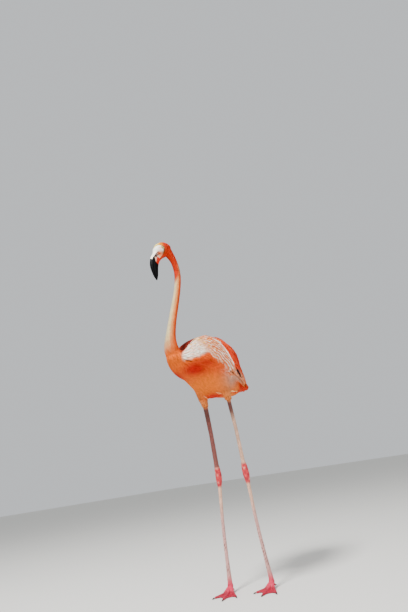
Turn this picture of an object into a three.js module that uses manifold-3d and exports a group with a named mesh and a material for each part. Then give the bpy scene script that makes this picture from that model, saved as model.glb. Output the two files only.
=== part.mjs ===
// American flamingo, standing with one foot ahead of the other and its neck raised in a slow S.
// Millimetres. +Z is up, the bird faces -Y and its left side is +X. While the pieces are being
// made, x = 0 is the plane that halves the trunk, y = 0 lies under the hips and z = 0 is the floor.
// At the end the whole group is moved so that the origin is under the middle of its bounding box.

import * as THREE from 'three';
import { mergeVertices } from 'three/addons/utils/BufferGeometryUtils.js';
import Module from 'manifold-3d';

const wasm = await Module();
wasm.setup();

// ---------------------------------------------------------------- driving dimensions

const GAP = 0.35; // clear space left between two neighbouring pieces

const TRUNK = {
  chestY: -222, // foremost point of the breast
  rumpY: 162, // where the trunk runs out under the tail
};

const HEAD = {
  pivotY: -122, // upright line about which the head is turned
  turn: THREE.MathUtils.degToRad(22), // head turned this far to the bird's right
  billStart: 0.535, // share of the head and bill's length at which the horn begins
};

const EYE = {
  radius: 6.6,
  forward: 58, // from the pivot, along the head
  height: 1179,
  outward: 18.4, // centre, from the head's own middle plane
};

const NECK_CUTS = [0.36, 0.68]; // shares of the neck's length at which it is parted

const LEG = {
  featherEdge: 583, // where the thigh's feathers end and the bare shank begins
  hockTop: 374,
  hockBottom: 304,
  ankleTop: 27, // lower end of the long bone above the foot
};

const FOOT = {
  fan: THREE.MathUtils.degToRad(34), // angle between neighbouring toes
  jointHeight: 17,
  toeLengths: [62, 72, 58], // outer, middle and inner toe, without claws
  toeRadius: 5.4,
  soleSink: 0.5, // height of a toe's middle line, in toe radii: what lies below the floor is trimmed
  clawLength: 9,
  webThickness: 2.2,
  hindToeLength: 17,
};

const SHANK_BOW = 2.5; // the bare shank bends this far to the bird's left in the middle
const TARSUS_BOW = 3.5; // and the long bone below it this far to its right

const FLOOR_SLAB = 60; // depth of the block that trims the soles flat

// The left wing is folded a little further forward than the right one.
const WING_BACK = { right: 20, left: -16 };

// Each side's stance: hip, hock and ankle centres, and how far the foot is turned to the left.
const STANCES = {
  right: { side: -1, hip: [-56, -22], edge: [-58, 2], hock: [-58, 21], ankle: [-46, -13], yaw: 18,
    girth: 2 },
  left: { side: 1, hip: [56, -22], edge: [58, -4], hock: [58, 25], ankle: [69, 49], yaw: 8,
    girth: 0.2 },
};

// ---------------------------------------------------------------- small helpers

const vec = (x, y, z) => new THREE.Vector3(x, y, z);
const Y = vec(0, 1, 0);
const Z = vec(0, 0, 1);

/** A curve through knots [[t, a, b, ...], ...] that never overshoots them: t -> [a, b, ...]. */
function smooth(knots) {
  const width = knots[0].length - 1;
  const step = (i, c) => (knots[i + 1][c] - knots[i][c]) / (knots[i + 1][0] - knots[i][0]);
  const slope = (i, c) => {
    if (i === 0) return step(0, c);
    if (i === knots.length - 1) return step(i - 1, c);
    const before = step(i - 1, c);
    const after = step(i, c);
    return before * after <= 0 ? 0 : (2 * before * after) / (before + after);
  };
  return (t) => {
    let i = 0;
    while (i < knots.length - 2 && t > knots[i + 1][0]) i += 1;
    const span = knots[i + 1][0] - knots[i][0];
    const u = THREE.MathUtils.clamp((t - knots[i][0]) / span, 0, 1);
    return Array.from({ length: width }, (_, k) => {
      const c = k + 1;
      const h = u * u * (3 - 2 * u);
      const rise = u * (1 - u) * (1 - u) * slope(i, c) - u * u * (1 - u) * slope(i + 1, c);
      return knots[i][c] * (1 - h) + knots[i + 1][c] * h + rise * span;
    });
  };
}

/** A smooth path through a few points, from [[x, y, z], ...]. */
function path(points) {
  const curve = new THREE.CatmullRomCurve3(points.map((p) => vec(...p)), false, 'centripetal');
  return (t) => curve.getPoint(t);
}

/** Turns shared vertices and triangles into a solid whose faces point out. */
function solidFrom(points, triangles) {
  let volume = 0;
  for (const [a, b, c] of triangles) volume += points[a].dot(points[b].clone().cross(points[c]));
  const outward = volume > 0 ? triangles : triangles.map(([a, b, c]) => [a, c, b]);
  return new wasm.Manifold(new wasm.Mesh({
    numProp: 3,
    vertProperties: Float32Array.from(points.flatMap((p) => [p.x, p.y, p.z])),
    triVerts: Uint32Array.from(outward.flat()),
  }));
}

/** Turns a closed three.js geometry into a solid. */
function solidOf(geometry) {
  geometry.deleteAttribute('normal');
  geometry.deleteAttribute('uv');
  const merged = mergeVertices(geometry, 1e-4);
  return new wasm.Manifold(new wasm.Mesh({
    numProp: 3,
    vertProperties: new Float32Array(merged.attributes.position.array),
    triVerts: Uint32Array.from(merged.index.array),
  }));
}

/**
 * A body drawn as oval rings along a spine.
 * spine(t) is the ring's centre and size(t) its half sizes [to each side, up, down]. The ring
 * stands square to the spine. Its up axis is as near to `up` as it can be, or square to `lateral`
 * where a spine turns through the upright. With `level`, every ring lies flat, as in a leg.
 * `dome` rounds the two ends off by so many millimetres, and `grow` makes a copy that is larger
 * all round.
 */
function loft(shape) {
  const { spine, size, up = Z, lateral = null, from = 0, to = 1, rings, sides } = shape;
  const { dome = [0, 0], domeSteps = 3, power = 2, level = false, grow = 0 } = shape;
  const nudge = 1e-3;
  const points = [];
  const triangles = [];
  const frameAt = (t) => {
    const a = spine(Math.max(0, t - nudge));
    const b = spine(Math.min(1, t + nudge));
    const along = level ? vec(0, 0, Math.sign(b.z - a.z)) : b.sub(a).normalize();
    const high = lateral ? along.clone().cross(lateral).normalize()
      : up.clone().addScaledVector(along, -up.dot(along)).normalize();
    return { centre: spine(t), along, high, across: high.clone().cross(along) };
  };
  const addRing = (t, shift, shrink) => {
    const { centre, along, high, across } = frameAt(t);
    const [half, above, below] = size(t).map((value) => (value + grow) * shrink);
    for (let k = 0; k < sides; k += 1) {
      const angle = (2 * Math.PI * k) / sides;
      const bent = (value) => Math.sign(value) * Math.abs(value) ** (2 / power);
      const rise = bent(Math.sin(angle));
      points.push(centre.clone()
        .addScaledVector(along, shift)
        .addScaledVector(across, half * bent(Math.cos(angle)))
        .addScaledVector(high, (rise > 0 ? above : below) * rise));
    }
  };
  const addTip = (t, shift) => {
    const { centre, along } = frameAt(t);
    points.push(centre.addScaledVector(along, shift));
  };
  const domeAt = (t, depth, sign, reversed) => {
    const steps = [];
    for (let k = 1; k < domeSteps; k += 1) steps.push((Math.PI / 2) * (k / domeSteps));
    if (reversed) steps.reverse();
    for (const a of steps) addRing(t, sign * (depth + grow) * Math.sin(a), Math.cos(a));
  };
  addTip(from, -(dome[0] + grow));
  if (dome[0] > 0) domeAt(from, dome[0], -1, true);
  for (let i = 0; i < rings; i += 1) {
    const shift = (i === 0 && dome[0] === 0 ? -grow : 0) + (i === rings - 1 && dome[1] === 0 ? grow : 0);
    addRing(from + ((to - from) * i) / (rings - 1), shift, 1);
  }
  if (dome[1] > 0) domeAt(to, dome[1], 1, false);
  addTip(to, dome[1] + grow);

  const ringCount = (points.length - 2) / sides;
  const last = points.length - 1;
  for (let k = 0; k < sides; k += 1) {
    const next = (k + 1) % sides;
    triangles.push([0, 1 + next, 1 + k]);
    for (let i = 0; i < ringCount - 1; i += 1) {
      const a = 1 + i * sides;
      const b = a + sides;
      triangles.push([a + k, a + next, b + k], [a + next, b + next, b + k]);
    }
    const end = 1 + (ringCount - 1) * sides;
    triangles.push([last, end + k, end + next]);
  }
  return solidFrom(points, triangles);
}

/** Calls `make` once for the piece itself and once for a copy grown by the gap, which cuts its neighbours. */
function withCutter(make) {
  return { solid: make(0), cutter: make(GAP) };
}

/** Takes the grown copies of other pieces away from a solid. */
function clearOf(solid, ...others) {
  return others.reduce((rest, other) => rest.subtract(other.cutter), solid);
}

// ---------------------------------------------------------------- materials

function material(color, roughness) {
  return new THREE.MeshStandardMaterial({ color, roughness, metalness: 0 });
}

const MATERIALS = {
  plumage: material(0xee7a3c, 0.85),
  neckPlumage: material(0xf2a078, 0.85),
  headPlumage: material(0xf06a22, 0.8),
  wingCoverts: material(0xf4c3ae, 0.85),
  redPlumage: material(0xe8501e, 0.8),
  blackFeather: material(0x16110f, 0.7),
  billPale: material(0xf2d9c4, 0.45),
  billDark: material(0x120d0d, 0.35),
  eye: material(0xd8c46a, 0.15),
  legSkin: material(0xd9a6a0, 0.6),
  hockSkin: material(0xe2585c, 0.55),
  footSkin: material(0xe5446a, 0.55),
  claw: material(0x2b201e, 0.5),
};

// ---------------------------------------------------------------- trunk, wings and tail

// Columns: y, height of the back, height of the belly, half width.
const trunkOutline = smooth([
  [TRUNK.chestY + 9, 742, 712, 18],
  [-196, 752, 693, 34],
  [-170, 757, 679, 48],
  [-140, 770, 663, 61],
  [-105, 803, 647, 71],
  [-65, 825, 630, 78],
  [-20, 833, 612, 83],
  [30, 821, 599, 84],
  [80, 779, 596, 67],
  [120, 732, 606, 44],
  [TRUNK.rumpY - 12, 690, 628, 27],
]);

function trunkBody(grow) {
  const front = TRUNK.chestY + 9;
  const back = TRUNK.rumpY - 12;
  const yAt = (t) => THREE.MathUtils.lerp(back, front, t);
  return loft({
    spine: (t) => {
      const [top, bottom] = trunkOutline(yAt(t));
      return vec(0, yAt(t), (top + bottom) / 2);
    },
    size: (t) => {
      const [top, bottom, half] = trunkOutline(yAt(t));
      return [half, (top - bottom) / 2, (top - bottom) / 2];
    },
    rings: 16,
    sides: 22,
    dome: [12, 9],
    domeSteps: 2,
    power: 2.5,
    grow,
  });
}

function foldedWing(side, grow) {
  const back = side > 0 ? WING_BACK.left : WING_BACK.right;
  return loft({
    spine: path([
      [side * 50, back - 166, 712],
      [side * 64, back - 126, 738],
      [side * 70, back / 2 - 58, 753],
      [side * 67, 22, 736],
      [side * 52, 84, 704],
      [side * 34, 130, 676],
      [side * 24, 160, 660],
    ]),
    size: smooth([
      [0, 10, 28, 24],
      [0.15, 16, 50, 42],
      [0.4, 19, 79, 80],
      [0.6, 18, 74, 94],
      [0.8, 13, 48, 64],
      [0.93, 8, 27, 31],
      [1, 4, 13, 13],
    ]),
    up: vec(-side * 0.34, 0, 0.94),
    rings: 10,
    sides: 14,
    dome: [12, 6],
    domeSteps: 2,
    grow,
  });
}

function tertialSheaf(side, grow) {
  return loft({
    spine: path([
      [side * 22, 8, 830],
      [side * 26, 56, 808],
      [side * 24, 98, 768],
      [side * 20, 134, 722],
      [side * 16, 163, 688],
    ]),
    size: smooth([
      [0, 10, 5, 5],
      [0.3, 19, 8, 8],
      [0.7, 17, 8, 8],
      [1, 7, 4, 4],
    ]),
    rings: 7,
    sides: 10,
    dome: [5, 5],
    domeSteps: 1,
    grow,
  });
}

function primaryTips(side, grow) {
  return loft({
    spine: path([
      [side * 44, 88, 722],
      [side * 37, 120, 705],
      [side * 27, 150, 688],
      [side * 18, 176, 672],
    ]),
    size: smooth([
      [0, 7, 9, 9],
      [0.5, 6, 10, 10],
      [1, 3, 5, 5],
    ]),
    rings: 5,
    sides: 8,
    dome: [4, 4],
    domeSteps: 1,
    grow,
  });
}

function tailFan(grow) {
  return loft({
    spine: path([
      [0, 106, 680],
      [0, 134, 664],
      [0, 162, 652],
      [0, 189, 644],
    ]),
    size: smooth([
      [0, 30, 30, 34],
      [0.5, 34, 23, 28],
      [0.85, 32, 14, 18],
      [1, 24, 8, 10],
    ]),
    rings: 6,
    sides: 12,
    dome: [8, 5],
    domeSteps: 2,
    grow,
  });
}

// ---------------------------------------------------------------- neck, head and bill

/** A point in the head's own middle plane, given how far it is ahead of the pivot and how high. */
function headPoint(forward, height, outward = 0) {
  return vec(
    -Math.sin(HEAD.turn) * forward + Math.cos(HEAD.turn) * outward,
    HEAD.pivotY - Math.cos(HEAD.turn) * forward - Math.sin(HEAD.turn) * outward,
    height,
  );
}

const headPath = (points) => path(points.map(([forward, height]) => headPoint(forward, height).toArray()));

const neckSpine = path([
  [0, -176, 700],
  [0, -199, 738],
  [0, -204, 780],
  [0, -196, 822],
  [0, -183, 866],
  [0, -166, 914],
  [0, -148, 965],
  [0, -132, 1017],
  [0, -122, 1068],
  headPoint(3, 1112).toArray(),
  headPoint(14, 1146).toArray(),
  headPoint(32, 1175).toArray(),
]);

const neckSize = smooth([
  [0, 40, 40, 18],
  [0.08, 34, 32, 28],
  [0.17, 24, 23, 23],
  [0.27, 17.2, 17.5, 16.5],
  [0.45, 14.2, 14.5, 14],
  [0.7, 12.6, 13, 12.6],
  [0.86, 12.5, 13, 13],
  [0.95, 16, 18, 15],
  [1, 19, 20, 18],
]);

function neckLength(from, to, grow) {
  return loft({ spine: neckSpine, size: neckSize, up: Y, from, to, rings: 8, sides: 14, grow });
}

const headAcross = headPoint(0, 0, 1).sub(headPoint(0, 0));

// Middle line of the head and bill, from the back of the skull to the tip.
const faceSpine = headPath([
  [24, 1192],
  [36, 1190.5],
  [49, 1186],
  [62, 1177],
  [75, 1164],
  [85, 1147],
  [91, 1128],
  [93, 1108],
  [93, 1088],
  [92, 1068],
  [91, 1052],
]);

// Columns: share of the length, half width, depth towards the crown side, depth towards the throat.
const faceSize = smooth([
  [0, 13, 15, 17],
  [0.09, 19, 22, 27],
  [0.2, 22, 28, 34],
  [0.3, 22.5, 28, 34],
  [0.41, 19.5, 19.5, 31],
  [0.51, 15.5, 14.5, 26.5],
  [0.62, 12, 16, 21],
  [0.72, 11, 16.5, 17],
  [0.82, 9.5, 13.5, 14],
  [0.92, 7, 9.5, 9.5],
  [1, 3.5, 4, 4],
]);

function faceLength(from, to, rings, dome, grow = 0) {
  return loft({
    spine: faceSpine, size: faceSize, lateral: headAcross, from, to, rings, sides: 18, dome, grow,
  });
}

function eyeball(side, grow) {
  const ball = new THREE.SphereGeometry(EYE.radius + grow, 10, 7);
  const centre = headPoint(EYE.forward, EYE.height, side * EYE.outward);
  ball.translate(centre.x, centre.y, centre.z);
  return solidOf(ball);
}

// The mouth line, seen from the side: ahead of the pivot, height.
const MOUTH_LINE = [[70, 1163], [86, 1150], [94, 1134], [99, 1114], [100, 1092], [97, 1070], [92, 1040]];

/** The half space in front of the mouth line, or behind it, as a slab that holds half the bill. */
function mouthSide(isUpper) {
  const outer = isUpper ? [[180, 1030], [180, 1190]] : [[20, 1030], [20, 1190]];
  const shift = (isUpper ? 0.5 : -0.5) * GAP;
  const outline = [...MOUTH_LINE.map(([forward, height]) => [forward + shift, height]), ...outer];
  const shape = new THREE.Shape(outline.map(([forward, height]) => new THREE.Vector2(forward, height)));
  const width = 80;
  const slab = new THREE.ExtrudeGeometry(shape, { depth: width, bevelEnabled: false });
  slab.translate(0, 0, -width / 2);
  const axes = new THREE.Matrix4().makeBasis(headPoint(1, 0).sub(headPoint(0, 0)), Z,
    headPoint(0, 0, -1).sub(headPoint(0, 0)));
  slab.applyMatrix4(axes.setPosition(headPoint(0, 0)));
  return solidOf(slab);
}

// ---------------------------------------------------------------- legs

const legPoint = ([x, y], z) => [x, y, z];

function thigh({ hip, edge }, grow) {
  return loft({
    spine: path([legPoint(hip, 700), legPoint([hip[0], hip[1] + 5], 655), legPoint(edge, LEG.featherEdge)]),
    size: smooth([
      [0, 24, 46, 46],
      [0.4, 25, 40, 40],
      [0.75, 18, 22, 24],
      [1, 11.5, 12.5, 12.5],
    ]),
    up: Y,
    level: true,
    rings: 6,
    sides: 12,
    dome: [16, 0],
    domeSteps: 2,
    grow,
  });
}

function shank({ edge, hock, girth }) {
  const down = (z) => (LEG.featherEdge - z) / (LEG.featherEdge - (LEG.hockTop + LEG.hockBottom) / 2);
  const at = (z) => [
    THREE.MathUtils.lerp(edge[0], hock[0], down(z)),
    THREE.MathUtils.lerp(edge[1], hock[1], down(z)),
    z,
  ];
  const middle = at(480);
  middle[0] += SHANK_BOW;
  return loft({
    spine: path([at(LEG.featherEdge - GAP), middle, at(LEG.hockTop + GAP / 2)]),
    size: smooth([[0, 7, 7.6, 7.6], [0.5, 5.8, 6.4, 6.4], [1, 6.2, 7.2, 7.2]].map(
      ([share, ...halves]) => [share, ...halves.map((half) => half + girth)])),
    up: Y,
    level: true,
    rings: 3,
    sides: 8,
  });
}

function hockJoint({ edge, hock, ankle, girth }) {
  const top = [0, 6.6 + girth, 7.6 + girth, 7.6 + girth];
  const middle = (LEG.hockTop + LEG.hockBottom) / 2;
  const above = (hock[1] - edge[1]) / (LEG.featherEdge - middle);
  const below = (ankle[1] - hock[1]) / (middle - LEG.ankleTop);
  const outBelow = (ankle[0] - hock[0]) / (middle - LEG.ankleTop);
  return loft({
    spine: path([
      [hock[0], hock[1] - above * (LEG.hockTop - middle), LEG.hockTop - GAP / 2],
      [hock[0], hock[1], middle],
      [hock[0] + outBelow * (middle - LEG.hockBottom), hock[1] + below * (middle - LEG.hockBottom),
        LEG.hockBottom + GAP / 2],
    ]),
    size: smooth([top, [0.28, 10, 12.5, 11], [0.55, 11, 13.5, 11.5], [1, 6.6, 7.8, 7.8]]),
    up: Y,
    level: true,
    rings: 6,
    sides: 10,
  });
}

function tarsus({ hock, ankle }) {
  const middle = (LEG.hockTop + LEG.hockBottom) / 2;
  const at = (z) => {
    const t = (middle - z) / (middle - LEG.ankleTop);
    return [THREE.MathUtils.lerp(hock[0], ankle[0], t), THREE.MathUtils.lerp(hock[1], ankle[1], t), z];
  };
  const bent = at(180);
  bent[0] -= TARSUS_BOW;
  return loft({
    spine: path([at(LEG.hockBottom - GAP / 2), bent, at(LEG.ankleTop + GAP / 2)]),
    size: smooth([[0, 6.2, 7.4, 7.4], [0.25, 5, 6.2, 6.2], [0.8, 5.4, 6.8, 6.8], [1, 7.6, 8.6, 8.6]]),
    up: Y,
    level: true,
    rings: 6,
    sides: 10,
  });
}

// ---------------------------------------------------------------- feet

/** The spine of a toe, from the joint down to the floor and out along it. */
function toeSpine(ankle, yaw, length) {
  const out = vec(Math.sin(yaw), -Math.cos(yaw), 0);
  const at = (reach, z) => [ankle[0] + out.x * reach, ankle[1] + out.y * reach, z];
  const low = FOOT.toeRadius * FOOT.soleSink;
  return path([
    at(2, FOOT.jointHeight),
    at(length * 0.22, FOOT.jointHeight * 0.7),
    at(length * 0.46, low + 0.8),
    at(length * 0.75, low),
    at(length, low * 0.95),
  ]);
}

function toe(spine) {
  const r = FOOT.toeRadius;
  return loft({
    spine,
    size: smooth([
      [0, r * 1.3, r * 1.3, r * 1.2],
      [0.3, r, r, r],
      [0.8, r * 0.8, r * 0.8, r * 0.8],
      [1, r * 0.62, r * 0.6, r * 0.6],
    ]),
    rings: 5,
    sides: 6,
    dome: [3, 2],
    domeSteps: 1,
  });
}

/** The skin between two toes: a thin sheet whose front edge is a shallow scallop. */
function web(spineA, spineB) {
  const lengthSteps = 4;
  const acrossSteps = 3;
  const half = FOOT.webThickness / 2;
  const points = [];
  const triangles = [];
  const index = (layer, i, j) => (layer * (lengthSteps + 1) + i) * (acrossSteps + 1) + j;
  for (const layer of [0, 1]) {
    for (let i = 0; i <= lengthSteps; i += 1) {
      for (let j = 0; j <= acrossSteps; j += 1) {
        const v = j / acrossSteps;
        const reach = (0.93 - 0.2 * Math.sin(Math.PI * v)) * (i / lengthSteps) + 0.02;
        const point = spineA(reach).lerp(spineB(reach), v);
        const sag = 3.2 * Math.sin(Math.PI * v) * Math.sin(Math.PI * reach);
        point.z = Math.max(point.z - sag, half + 0.3) + (layer ? half : -half);
        points.push(point);
      }
    }
  }
  const quad = (a, b, c, d) => triangles.push([a, b, c], [a, c, d]);
  for (let i = 0; i < lengthSteps; i += 1) {
    for (let j = 0; j < acrossSteps; j += 1) {
      quad(index(1, i, j), index(1, i + 1, j), index(1, i + 1, j + 1), index(1, i, j + 1));
      quad(index(0, i, j), index(0, i, j + 1), index(0, i + 1, j + 1), index(0, i + 1, j));
    }
    quad(index(0, i, 0), index(0, i + 1, 0), index(1, i + 1, 0), index(1, i, 0));
    quad(
      index(0, i + 1, acrossSteps),
      index(0, i, acrossSteps),
      index(1, i, acrossSteps),
      index(1, i + 1, acrossSteps),
    );
  }
  for (let j = 0; j < acrossSteps; j += 1) {
    quad(index(0, 0, j + 1), index(0, 0, j), index(1, 0, j), index(1, 0, j + 1));
    quad(
      index(0, lengthSteps, j),
      index(0, lengthSteps, j + 1),
      index(1, lengthSteps, j + 1),
      index(1, lengthSteps, j),
    );
  }
  return solidFrom(points, triangles);
}

function ankleKnob(ankle) {
  return loft({
    spine: path([[ankle[0], ankle[1], LEG.ankleTop - GAP / 2], [ankle[0], ankle[1], 12]]),
    size: smooth([[0, 8, 9, 9], [0.6, 9.5, 10, 10], [1, 8, 8, 8]]),
    up: Y,
    level: true,
    rings: 3,
    sides: 10,
    dome: [0, 5],
    domeSteps: 2,
  });
}

function footParts({ side, ankle, yaw }) {
  const heading = THREE.MathUtils.degToRad(yaw);
  const turns = [side * FOOT.fan, 0, -side * FOOT.fan];
  const spines = turns.map((turn, k) => toeSpine(ankle, heading + turn, FOOT.toeLengths[k]));
  const back = vec(-Math.sin(heading), Math.cos(heading), 0);
  const behind = (reach, height) => [ankle[0] + back.x * reach, ankle[1] + back.y * reach, height];
  const hindSpine = path([
    behind(5, 15),
    behind(6 + FOOT.hindToeLength * 0.5, 9),
    behind(6 + FOOT.hindToeLength, 4),
  ]);
  const hind = loft({
    spine: hindSpine,
    size: smooth([[0, 5, 5, 5], [1, 2.6, 2.6, 2.6]]),
    rings: 3,
    sides: 6,
    dome: [2, 1.5],
    domeSteps: 1,
  });
  const slab = new THREE.BoxGeometry(400, 400, FLOOR_SLAB);
  slab.translate(ankle[0], ankle[1], -FLOOR_SLAB / 2);
  const webs = [web(spines[0], spines[1]), web(spines[1], spines[2])];
  const pieces = [ankleKnob(ankle), hind, ...spines.map(toe), ...webs];
  const foot = pieces.reduce((sum, piece) => sum.add(piece)).subtract(solidOf(slab));

  const claws = spines.map((spine, k) => clawAt(spine(1), heading + turns[k], 2 + GAP, 3.1));
  claws.push(clawAt(hindSpine(1), heading + Math.PI, 1.5 + GAP, 2.4));
  return { foot, claws };
}

/** A blunt nail that starts just clear of the toe's end and curves down towards the floor. */
function clawAt(toeEnd, yaw, start, radius) {
  const out = vec(Math.sin(yaw), -Math.cos(yaw), 0);
  const length = FOOT.clawLength * (radius / 3.1);
  const at = (reach, drop) => toeEnd.clone().addScaledVector(out, reach).add(vec(0, 0, -drop)).toArray();
  return loft({
    spine: path([at(start, 0), at(start + length * 0.5, 0.2), at(start + length, 1.3)]),
    size: smooth([
      [0, radius, radius * 0.8, radius * 0.75],
      [0.6, radius * 0.6, radius * 0.6, radius * 0.55],
      [1, 0.6, 0.6, 0.6],
    ]),
    rings: 3,
    sides: 6,
  });
}

// ---------------------------------------------------------------- assembly

const group = new THREE.Group();

function addPart(name, solid, partMaterial) {
  const { vertProperties, triVerts } = solid.getMesh();
  const geometry = new THREE.BufferGeometry();
  geometry.setAttribute('position', new THREE.BufferAttribute(new Float32Array(vertProperties), 3));
  geometry.setIndex(new THREE.BufferAttribute(new Uint32Array(triVerts), 1));
  geometry.computeVertexNormals();
  const mesh = new THREE.Mesh(geometry, partMaterial);
  mesh.name = name;
  group.add(mesh);
}

const SIDES = Object.entries(STANCES);

// Head and bill come from one outline, parted by a thin cut where the horn begins.
const faceStep = 0.0012;
const eyes = SIDES.map(([name, { side }]) => [name, withCutter((grow) => eyeball(side, grow))]);
const skull = {
  solid: faceLength(0, HEAD.billStart - faceStep, 10, [8, 0]),
  cutter: faceLength(0, HEAD.billStart - faceStep, 10, [8, 0], 1.5 * GAP),
};
addPart('head', clearOf(skull.solid, ...eyes.map(([, eye]) => eye)), MATERIALS.headPlumage);
const bill = faceLength(HEAD.billStart + faceStep, 1, 9, [0, 5]);
addPart('bill_upper', bill.intersect(mouthSide(true)), MATERIALS.billDark);
addPart('bill_lower', bill.intersect(mouthSide(false)), MATERIALS.billDark);
for (const [name, eye] of eyes) addPart(`eye_${name}`, eye.solid, MATERIALS.eye);

// The neck is three lengths of one curve.
const neckStep = 0.0003;
const [lowCut, highCut] = NECK_CUTS;
const trunk = withCutter(trunkBody);
addPart('neck_lower', clearOf(neckLength(0.03, lowCut - neckStep, 0), trunk), MATERIALS.redPlumage);
addPart('neck_middle', neckLength(lowCut + neckStep, highCut - neckStep, 0), MATERIALS.neckPlumage);
addPart('neck_upper', clearOf(neckLength(highCut + neckStep, 1, 0), skull), MATERIALS.headPlumage);

// Outer pieces keep their whole shape and are let into the ones that carry them.
const tail = withCutter(tailFan);
const sheaves = SIDES.map(([name, { side }]) => [name, withCutter((grow) => tertialSheaf(side, grow))]);
const tips = SIDES.map(([name, { side }]) => [name, withCutter((grow) => primaryTips(side, grow))]);
const wings = SIDES.map(([name, { side }]) => [name, withCutter((grow) => foldedWing(side, grow))]);
const thighs = SIDES.map(([name, stance]) => [name, withCutter((grow) => thigh(stance, grow))]);
const cutters = (pairs) => pairs.map(([, piece]) => piece);

addPart('trunk', clearOf(trunk.solid, tail, ...cutters(sheaves), ...cutters(tips), ...cutters(wings)),
  MATERIALS.plumage);
const tailClear = clearOf(tail.solid, ...cutters(tips), ...cutters(sheaves), ...cutters(wings));
addPart('tail', tailClear, MATERIALS.redPlumage);
for (const [k, [name, wing]] of wings.entries()) {
  addPart(`wing_${name}`, clearOf(wing.solid, sheaves[k][1], tips[k][1]), MATERIALS.wingCoverts);
  addPart(`tertials_${name}`, clearOf(sheaves[k][1].solid, tips[k][1]), MATERIALS.redPlumage);
  addPart(`primaries_${name}`, tips[k][1].solid, MATERIALS.blackFeather);
  addPart(`thigh_${name}`, clearOf(thighs[k][1].solid, wing, trunk, tail), MATERIALS.plumage);
}

for (const [name, stance] of SIDES) {
  addPart(`shank_${name}`, shank(stance), MATERIALS.legSkin);
  addPart(`hock_${name}`, hockJoint(stance), MATERIALS.hockSkin);
  addPart(`tarsus_${name}`, tarsus(stance), MATERIALS.legSkin);
  const { foot, claws } = footParts(stance);
  addPart(`foot_${name}`, foot, MATERIALS.footSkin);
  const toeNames = ['outer', 'middle', 'inner', 'hind'];
  claws.forEach((claw, k) => addPart(`claw_${name}_${toeNames[k]}`, claw, MATERIALS.claw));
}

// The origin lies on the floor, under the middle of the bounding box.
const box = new THREE.Box3().setFromObject(group, true);
group.position.set(-(box.min.x + box.max.x) / 2, -(box.min.y + box.max.y) / 2, -box.min.z);

export default group;
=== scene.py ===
# %% [markdown]
# # A standing flamingo
# This lesson dresses the plain solids of a life-size flamingo. The solids give the true places
# and sizes, and are loaded as a fixed frame. Everything made here is laid round that frame: one
# skin under all the plumage, the horny bill and claws, the eyes, and then the feathers, each of
# them a small closed solid. Lengths are named in millimetres and turned into metres at the end.

import math

import bmesh
import bpy
import numpy as np
from mathutils import Matrix, Vector
from mathutils.bvhtree import BVHTree


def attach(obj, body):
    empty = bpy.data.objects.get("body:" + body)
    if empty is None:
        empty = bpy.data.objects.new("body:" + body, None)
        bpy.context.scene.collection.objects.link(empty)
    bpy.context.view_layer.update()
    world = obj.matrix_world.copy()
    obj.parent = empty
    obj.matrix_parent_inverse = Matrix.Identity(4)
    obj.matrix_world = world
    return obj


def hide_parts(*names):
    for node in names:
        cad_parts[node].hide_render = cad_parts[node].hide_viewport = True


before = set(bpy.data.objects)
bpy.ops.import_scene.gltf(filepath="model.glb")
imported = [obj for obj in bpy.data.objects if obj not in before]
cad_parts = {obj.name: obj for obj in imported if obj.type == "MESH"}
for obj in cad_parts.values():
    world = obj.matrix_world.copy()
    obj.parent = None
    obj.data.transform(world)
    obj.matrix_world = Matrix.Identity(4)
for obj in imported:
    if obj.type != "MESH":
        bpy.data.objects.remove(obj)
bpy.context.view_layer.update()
BODY = "root"
scene = bpy.context.scene

# %% [markdown]
# The bird was drawn in millimetres about its own middle plane: x to its left, y towards its tail,
# z up from the floor. The frame's origin lies under the middle of the whole box instead. Every
# place could be written in the frame's metres, but a crown at 1190 mm reads better than one at
# 1.19 from a shifted origin, so one helper carries a point into the frame and another back.

# %% The bird's own coordinates
MM = 0.001
DRAWING_ORIGIN = np.array([-6.213, 16.958, 0.0])


def to_frame(points):
    """Millimetres in the bird's own drawing to metres in the frame."""
    return (np.asarray(points, float) + DRAWING_ORIGIN) * MM


def to_bird(points):
    """Metres in the frame to millimetres in the bird's own drawing."""
    return np.asarray(points, float) / MM - DRAWING_ORIGIN


print("the drawing's origin lies at", DRAWING_ORIGIN.tolist(), "mm in the frame")

# %% [markdown]
# A wide lens close to the ground looks up at the bird, and the camera leans a little to one side.
# Euler angles could turn it, but a lean on top of a pitch is easy to get wrong with them. So the
# three directions of the camera are worked out and set as the columns of its matrix.

# %% Camera
EYE_POINT = Vector((0.9273, -1.1636, 0.334))
HEADING = Vector((-0.616, 0.788, 0.0)).normalized()
PITCH_UP = math.radians(22.85)
LEAN = math.radians(8.82)

gaze = HEADING * math.cos(PITCH_UP) + Vector((0, 0, 1)) * math.sin(PITCH_UP)
level_right = gaze.cross(Vector((0, 0, 1))).normalized()
level_up = level_right.cross(gaze)
right = level_right * math.cos(LEAN) - level_up * math.sin(LEAN)
up = level_up * math.cos(LEAN) + level_right * math.sin(LEAN)

camera_data = bpy.data.cameras.new("Camera")
camera_data.lens = 24
camera_data.sensor_width = 36
camera_data.clip_start = 0.02
camera_data.clip_end = 100
camera = bpy.data.objects.new("Camera", camera_data)
turn = Matrix((right, up, -gaze)).transposed().to_4x4()
camera.matrix_world = Matrix.Translation(EYE_POINT) @ turn
scene.collection.objects.link(camera)
scene.camera = camera
print("camera at", tuple(round(c, 3) for c in EYE_POINT))

# %% [markdown]
# The stage is a plain pale floor that runs out to the horizon, so that the bird's own colours are
# all that shows. It lies a hair's breadth under the feet, because two surfaces in one plane
# flicker. Colours are picked as screen values everywhere and turned into linear light once.

# %% Floor
FLOOR_REACH = 60.0
FLOOR_DROP = 0.0003


def colour(red, green, blue):
    """A colour picked as screen values of 0 to 255, as linear light."""
    screen = np.array([red, green, blue], float) / 255
    return np.where(screen <= 0.04045, screen / 12.92, ((screen + 0.055) / 1.055) ** 2.4)


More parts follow.
